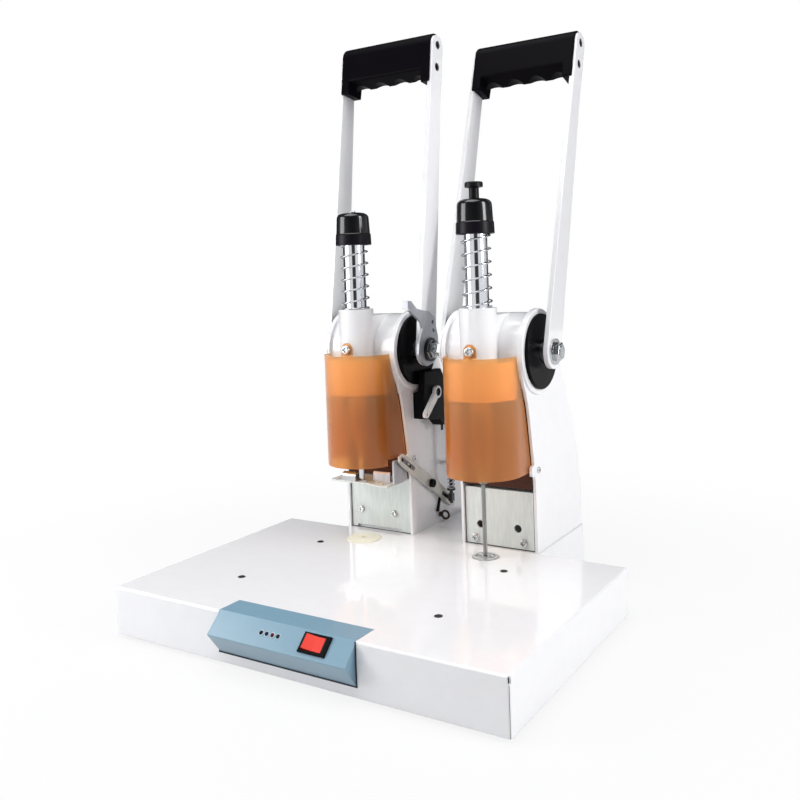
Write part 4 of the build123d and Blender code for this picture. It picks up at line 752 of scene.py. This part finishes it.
# painted shade: the drill spindle is a darker copy of the turned steel, standing in for the shade over its
# top
spindle_steel_shaded = finish_of("spindle_steel_shaded", paint(140, 140, 138), rough=0.26, metal=1.0, edge=0.0004,
                          edge_colour=paint(60, 60, 62), edge_amount=0.7, grain=(12, 12, 1), grain_scale=300,
                          bump=0.1, colour_swing=0.06)
dress(chrome, "ram_rod_left", "ram_rod_right", "rivet_punch")
dress(turned, "rack_left", "rack_right", "cap_screw")
dress(spindle_steel_shaded, "drill_spindle")
dress(cap_gloss, "ram_cap_left", "ram_cap_right")
dress(cap_black, "clearing_pin")
dress(head_brass, "riveting_head")
dress(motor_can, "drill_motor")


def wound(name, centre, radius, wire, low, high, pitch, pass_z, pass_angle, flat=0.7, sides=10):
    """A coil spring of round wire whose end coils lie flat. A strand passes pass_angle at height pass_z."""
    r, w = radius, wire / 2
    first, last = low + w * 2.2, high - w * 2.2
    a0, a1 = (math.radians(pass_angle) + 2 * math.pi * (z - pass_z) / pitch for z in (first, last))
    lead = flat * 2 * math.pi
    path = [(a0 - lead * (1 - i / 16), low + w + (first - low - w) * (i / 16) ** 3) for i in range(16)]
    steps = int((a1 - a0) / 2 / math.pi * 30)
    path += [(a0 + (a1 - a0) * i / steps, first + (last - first) * i / steps) for i in range(steps + 1)]
    path += [(a1 + lead * i / 16, last + (high - w - last) * (1 - (1 - i / 16) ** 3)) for i in range(1, 17)]
    mesh = bmesh.new()
    rings = []
    for k, (a, z) in enumerate(path):
        before, after = path[max(k - 1, 0)], path[min(k + 1, len(path) - 1)]
        ahead = Vector((r * (math.cos(after[0]) - math.cos(before[0])),
                        r * (math.sin(after[0]) - math.sin(before[0])), after[1] - before[1])).normalized()
        out = Vector((math.cos(a), math.sin(a), 0))
        over = ahead.cross(out)
        mid = Vector((centre[0], centre[1], 0)) + out * r + Vector((0, 0, z))
        rings.append([mesh.verts.new(mid + out * w * math.cos(2 * math.pi * j / sides)
                                     + over * w * math.sin(2 * math.pi * j / sides)) for j in range(sides)])
    skin(mesh, rings)
    mesh.faces.new(rings[0][::-1])
    mesh.faces.new(rings[-1])
    return piece_of(mesh, name, spring_wire, smooth=True)


# each spring stands on its head under the cap
coil_wire = 0.0018
for side, angle, pass_z, pitch, keep in (("left", -54.9, 0.3662, 0.01275, 0.488),
                                         ("right", -62.7, 0.3624, 0.0133, 0.462)):
    low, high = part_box(f"return_spring_{side}")
    x, y = (low[0] + high[0]) / 2, (low[1] + high[1]) / 2
    spring = wound(f"coil_{side}", (x, y), (high[0] - low[0]) / 2 - coil_wire / 2, coil_wire, low[2], high[2],
                   pitch, pass_z, angle)
    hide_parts(f"return_spring_{side}")
    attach(spring, "base")
    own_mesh(spring)

# ---- Cutter ---------------------------------------------------------------------------
# Zinc-plated stampings on the left station: the bed under the tube, the slotted
# lever, the crank and sprung rod that move it, and the hooked bracket on the handle.
bracket_steel = finish_of("bracket_steel", paint(186, 188, 194), rough=0.36, metal=0.6, edge=0.0006,
                          edge_colour=paint(238, 240, 242), edge_amount=0.5, grain=(6, 6, 1), grain_scale=60,
                          bump=0.1, bump_depth=0.00003, colour_swing=0.10, rough_swing=0.12)
lever_zinc = finish_of("lever_zinc", paint(206, 204, 196), rough=0.42, metal=0.4, edge=0.0005,
                       edge_colour=paint(84, 82, 80), edge_amount=0.8, grain_scale=200, bump=0.1,
                       colour_swing=0.06)
# painted light: the crank is painted near white, a lit copy of the plate zinc, standing in for the light on
# its face
crank_zinc_lit = finish_of("crank_zinc_lit", paint(252, 252, 250), rough=0.34, metal=0.1, edge=0.0005,
                       edge_colour=paint(120, 122, 122), edge_amount=0.5, grain_scale=300, bump=0.1,
                       colour_swing=0.05)
dress(zinc, "cutter_bed")
dress(bracket_steel, "cutter_slide")
dress(lever_zinc, "cutter_lever")
dress(crank_zinc_lit, "crank_arm")
dress(frame_black, "lever_pivot")
dress(turned, "tube_guide")
dress(black_screw, "pull_rod")


def ring_of(y, z, radius, count=24):
    """Points round a circle in Y and Z."""
    turns = [2 * math.pi * k / count for k in range(count)]
    return [(y + radius * math.cos(a), z + radius * math.sin(a)) for a in turns]


def pierced(name, material, outline, holes, x0, x1, body, tab=None):
    """A plate from x0 to x1 with an outline and round holes in Y and Z and, if given, a box tab."""
    mesh = bmesh.new()
    edges = []
    for loop in [outline] + [ring_of(*hole) for hole in holes]:
        at = [mesh.verts.new((x0, y, z)) for y, z in loop]
        edges += [mesh.edges.new((at[i], at[(i + 1) % len(at)])) for i in range(len(at))]
    bmesh.ops.triangle_fill(mesh, edges=edges, use_beauty=True)
    grown = bmesh.ops.extrude_face_region(mesh, geom=mesh.faces[:])["geom"]
    far = [g for g in grown if isinstance(g, bmesh.types.BMVert)]
    bmesh.ops.translate(mesh, vec=(x1 - x0, 0, 0), verts=far)
    if tab:
        low, high = tab
        for v in bmesh.ops.create_cube(mesh, size=1.0)["verts"]:
            v.co = Vector([(a + b) / 2 + c * (b - a) for a, b, c in zip(low, high, v.co)])
    piece = piece_of(mesh, name, material)
    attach(piece, body)
    return piece


# the cam bracket is a narrow hooked plate round the handle's left shaft end
low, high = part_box("cam_bracket")
hook = [(0.0520, 0.3140), (0.0566, 0.3134), (0.0681, 0.3045), (0.0811, 0.3024), (0.0938, 0.3006),
        (0.1046, 0.2940), (0.1077, 0.2845), (0.1117, 0.2720), (0.1126, 0.2600), (0.1101, 0.2495),
        (0.1005, 0.2426), (0.0861, 0.2402), (0.0741, 0.2456), (0.0686, 0.2545), (0.0705, 0.2660),
        (0.0741, 0.2745), (0.0789, 0.2820), (0.0761, 0.2895), (0.0671, 0.2950), (0.0520, 0.3036)]
hook_holes = [(0.093125, 0.258, 0.0061), (0.1006, 0.2885, 0.0024), (0.1026, 0.2790, 0.0024)]
bracket = pierced("hooked_bracket", bracket_steel, hook, hook_holes, high[0] - 0.003, high[0], "handle_left",
                  tab=((low[0], low[1], 0.305), (high[0], 0.0523, 0.314)))
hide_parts("cam_bracket")
low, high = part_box("crank_arm")
hub = (0.114125, 0.2078)
pierced("crank_bush", frame_black, ring_of(*hub, 0.0045), [(*hub, 0.0021)], high[0] - 0.0015,
        high[0] + 0.0002, "crank")
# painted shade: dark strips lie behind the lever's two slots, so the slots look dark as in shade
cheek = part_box("cutter_lever")[0][0] - 0.002
slope = math.radians(-33.2)
pivot = (0.1703 + frame_y, 0.0981 + frame_z)


def slot_shade_strip(name, first, last, half, x0, x1, body):
    """A strip along the lever, from first to last past its pivot and half a width to each side."""
    ring = [(first, -half), (last, -half), (last, half), (first, half)]
    at = [(pivot[0] + d * math.cos(slope) - u * math.sin(slope),
           pivot[1] + d * math.sin(slope) + u * math.cos(slope)) for d, u in ring]
    return solid_of(name, painted_shade_strip, [([(x0, y, z) for y, z in at], [(x1, y, z) for y, z in at])], body)


slot_shade_strip("slot_shade_strip_rod", 0.030, 0.058, 0.0036, cheek, cheek + 0.0003, "base")
slot_shade_strip("slot_shade_strip_slide", -0.0715, -0.0535, 0.0032, cheek - 0.0004, cheek - 0.0001, "slide")
slot_shade_strip("slot_shade_strip_pivot", -0.0505, -0.0430, 0.0032, cheek, cheek + 0.0003, "base")
# a bronzed eye bolt stands out of the cheek below the lever, with a black stop bar beside it
bronzed = finish_of("bronzed_steel", paint(58, 44, 30), rough=0.4, metal=0.6, edge=0.0003,
                    edge_colour=paint(128, 104, 72), edge_amount=0.5, grain_scale=1500, bump=0.2)
eye_r, eye_wire = 0.0046, 0.0013
eye = Vector((cheek + eye_r + eye_wire + 0.0022, 0.1385, 0.0595))
rings = []
mesh = bmesh.new()
for k in range(28):
    out = Vector((math.cos(2 * math.pi * k / 28), 0, math.sin(2 * math.pi * k / 28)))
    rings.append([mesh.verts.new(eye + out * (eye_r + eye_wire * math.cos(math.pi * j / 5))
                                 + Vector((0, eye_wire * math.sin(math.pi * j / 5), 0))) for j in range(10)])
skin(mesh, rings, closed=True)
collar_r = 0.0030
shank_line = [(cheek - 0.001, eye_wire), (cheek + 0.0008, eye_wire), (cheek + 0.0008, collar_r),
              (cheek + 0.0020, collar_r), (cheek + 0.0020, eye_wire), (eye.x - eye_r, eye_wire)]
shank = [[mesh.verts.new((x, y, z)) for y, z in ring_of(eye.y, eye.z, r, 12)] for x, r in shank_line]
skin(mesh, shank)
mesh.faces.new(shank[0][::-1])
mesh.faces.new(shank[-1])
anchor = piece_of(mesh, "anchor_eye", bronzed, smooth=True)
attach(anchor, "base")
bar = [(0.1385, 0.0815), (0.1415, 0.0815), (0.1345, 0.0635), (0.1305, 0.0645)]
solid_of("stop_bar", frame_black,
         [([(cheek, y, z) for y, z in bar], [(cheek + 0.0022, y, z) for y, z in bar])], "base")
dress(frame_black, "linkage_box")
low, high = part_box("rod_spring")
x, y = (low[0] + high[0]) / 2, (low[1] + high[1]) / 2
rod_wire = 0.0014
rod_coil = wound("rod_coil", (x, y), (high[0] - low[0]) / 2 - rod_wire / 2, rod_wire, low[2], high[2], 0.0042,
                 low[2], 0.0)
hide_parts("rod_spring")
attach(rod_coil, "base")
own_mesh(rod_coil)
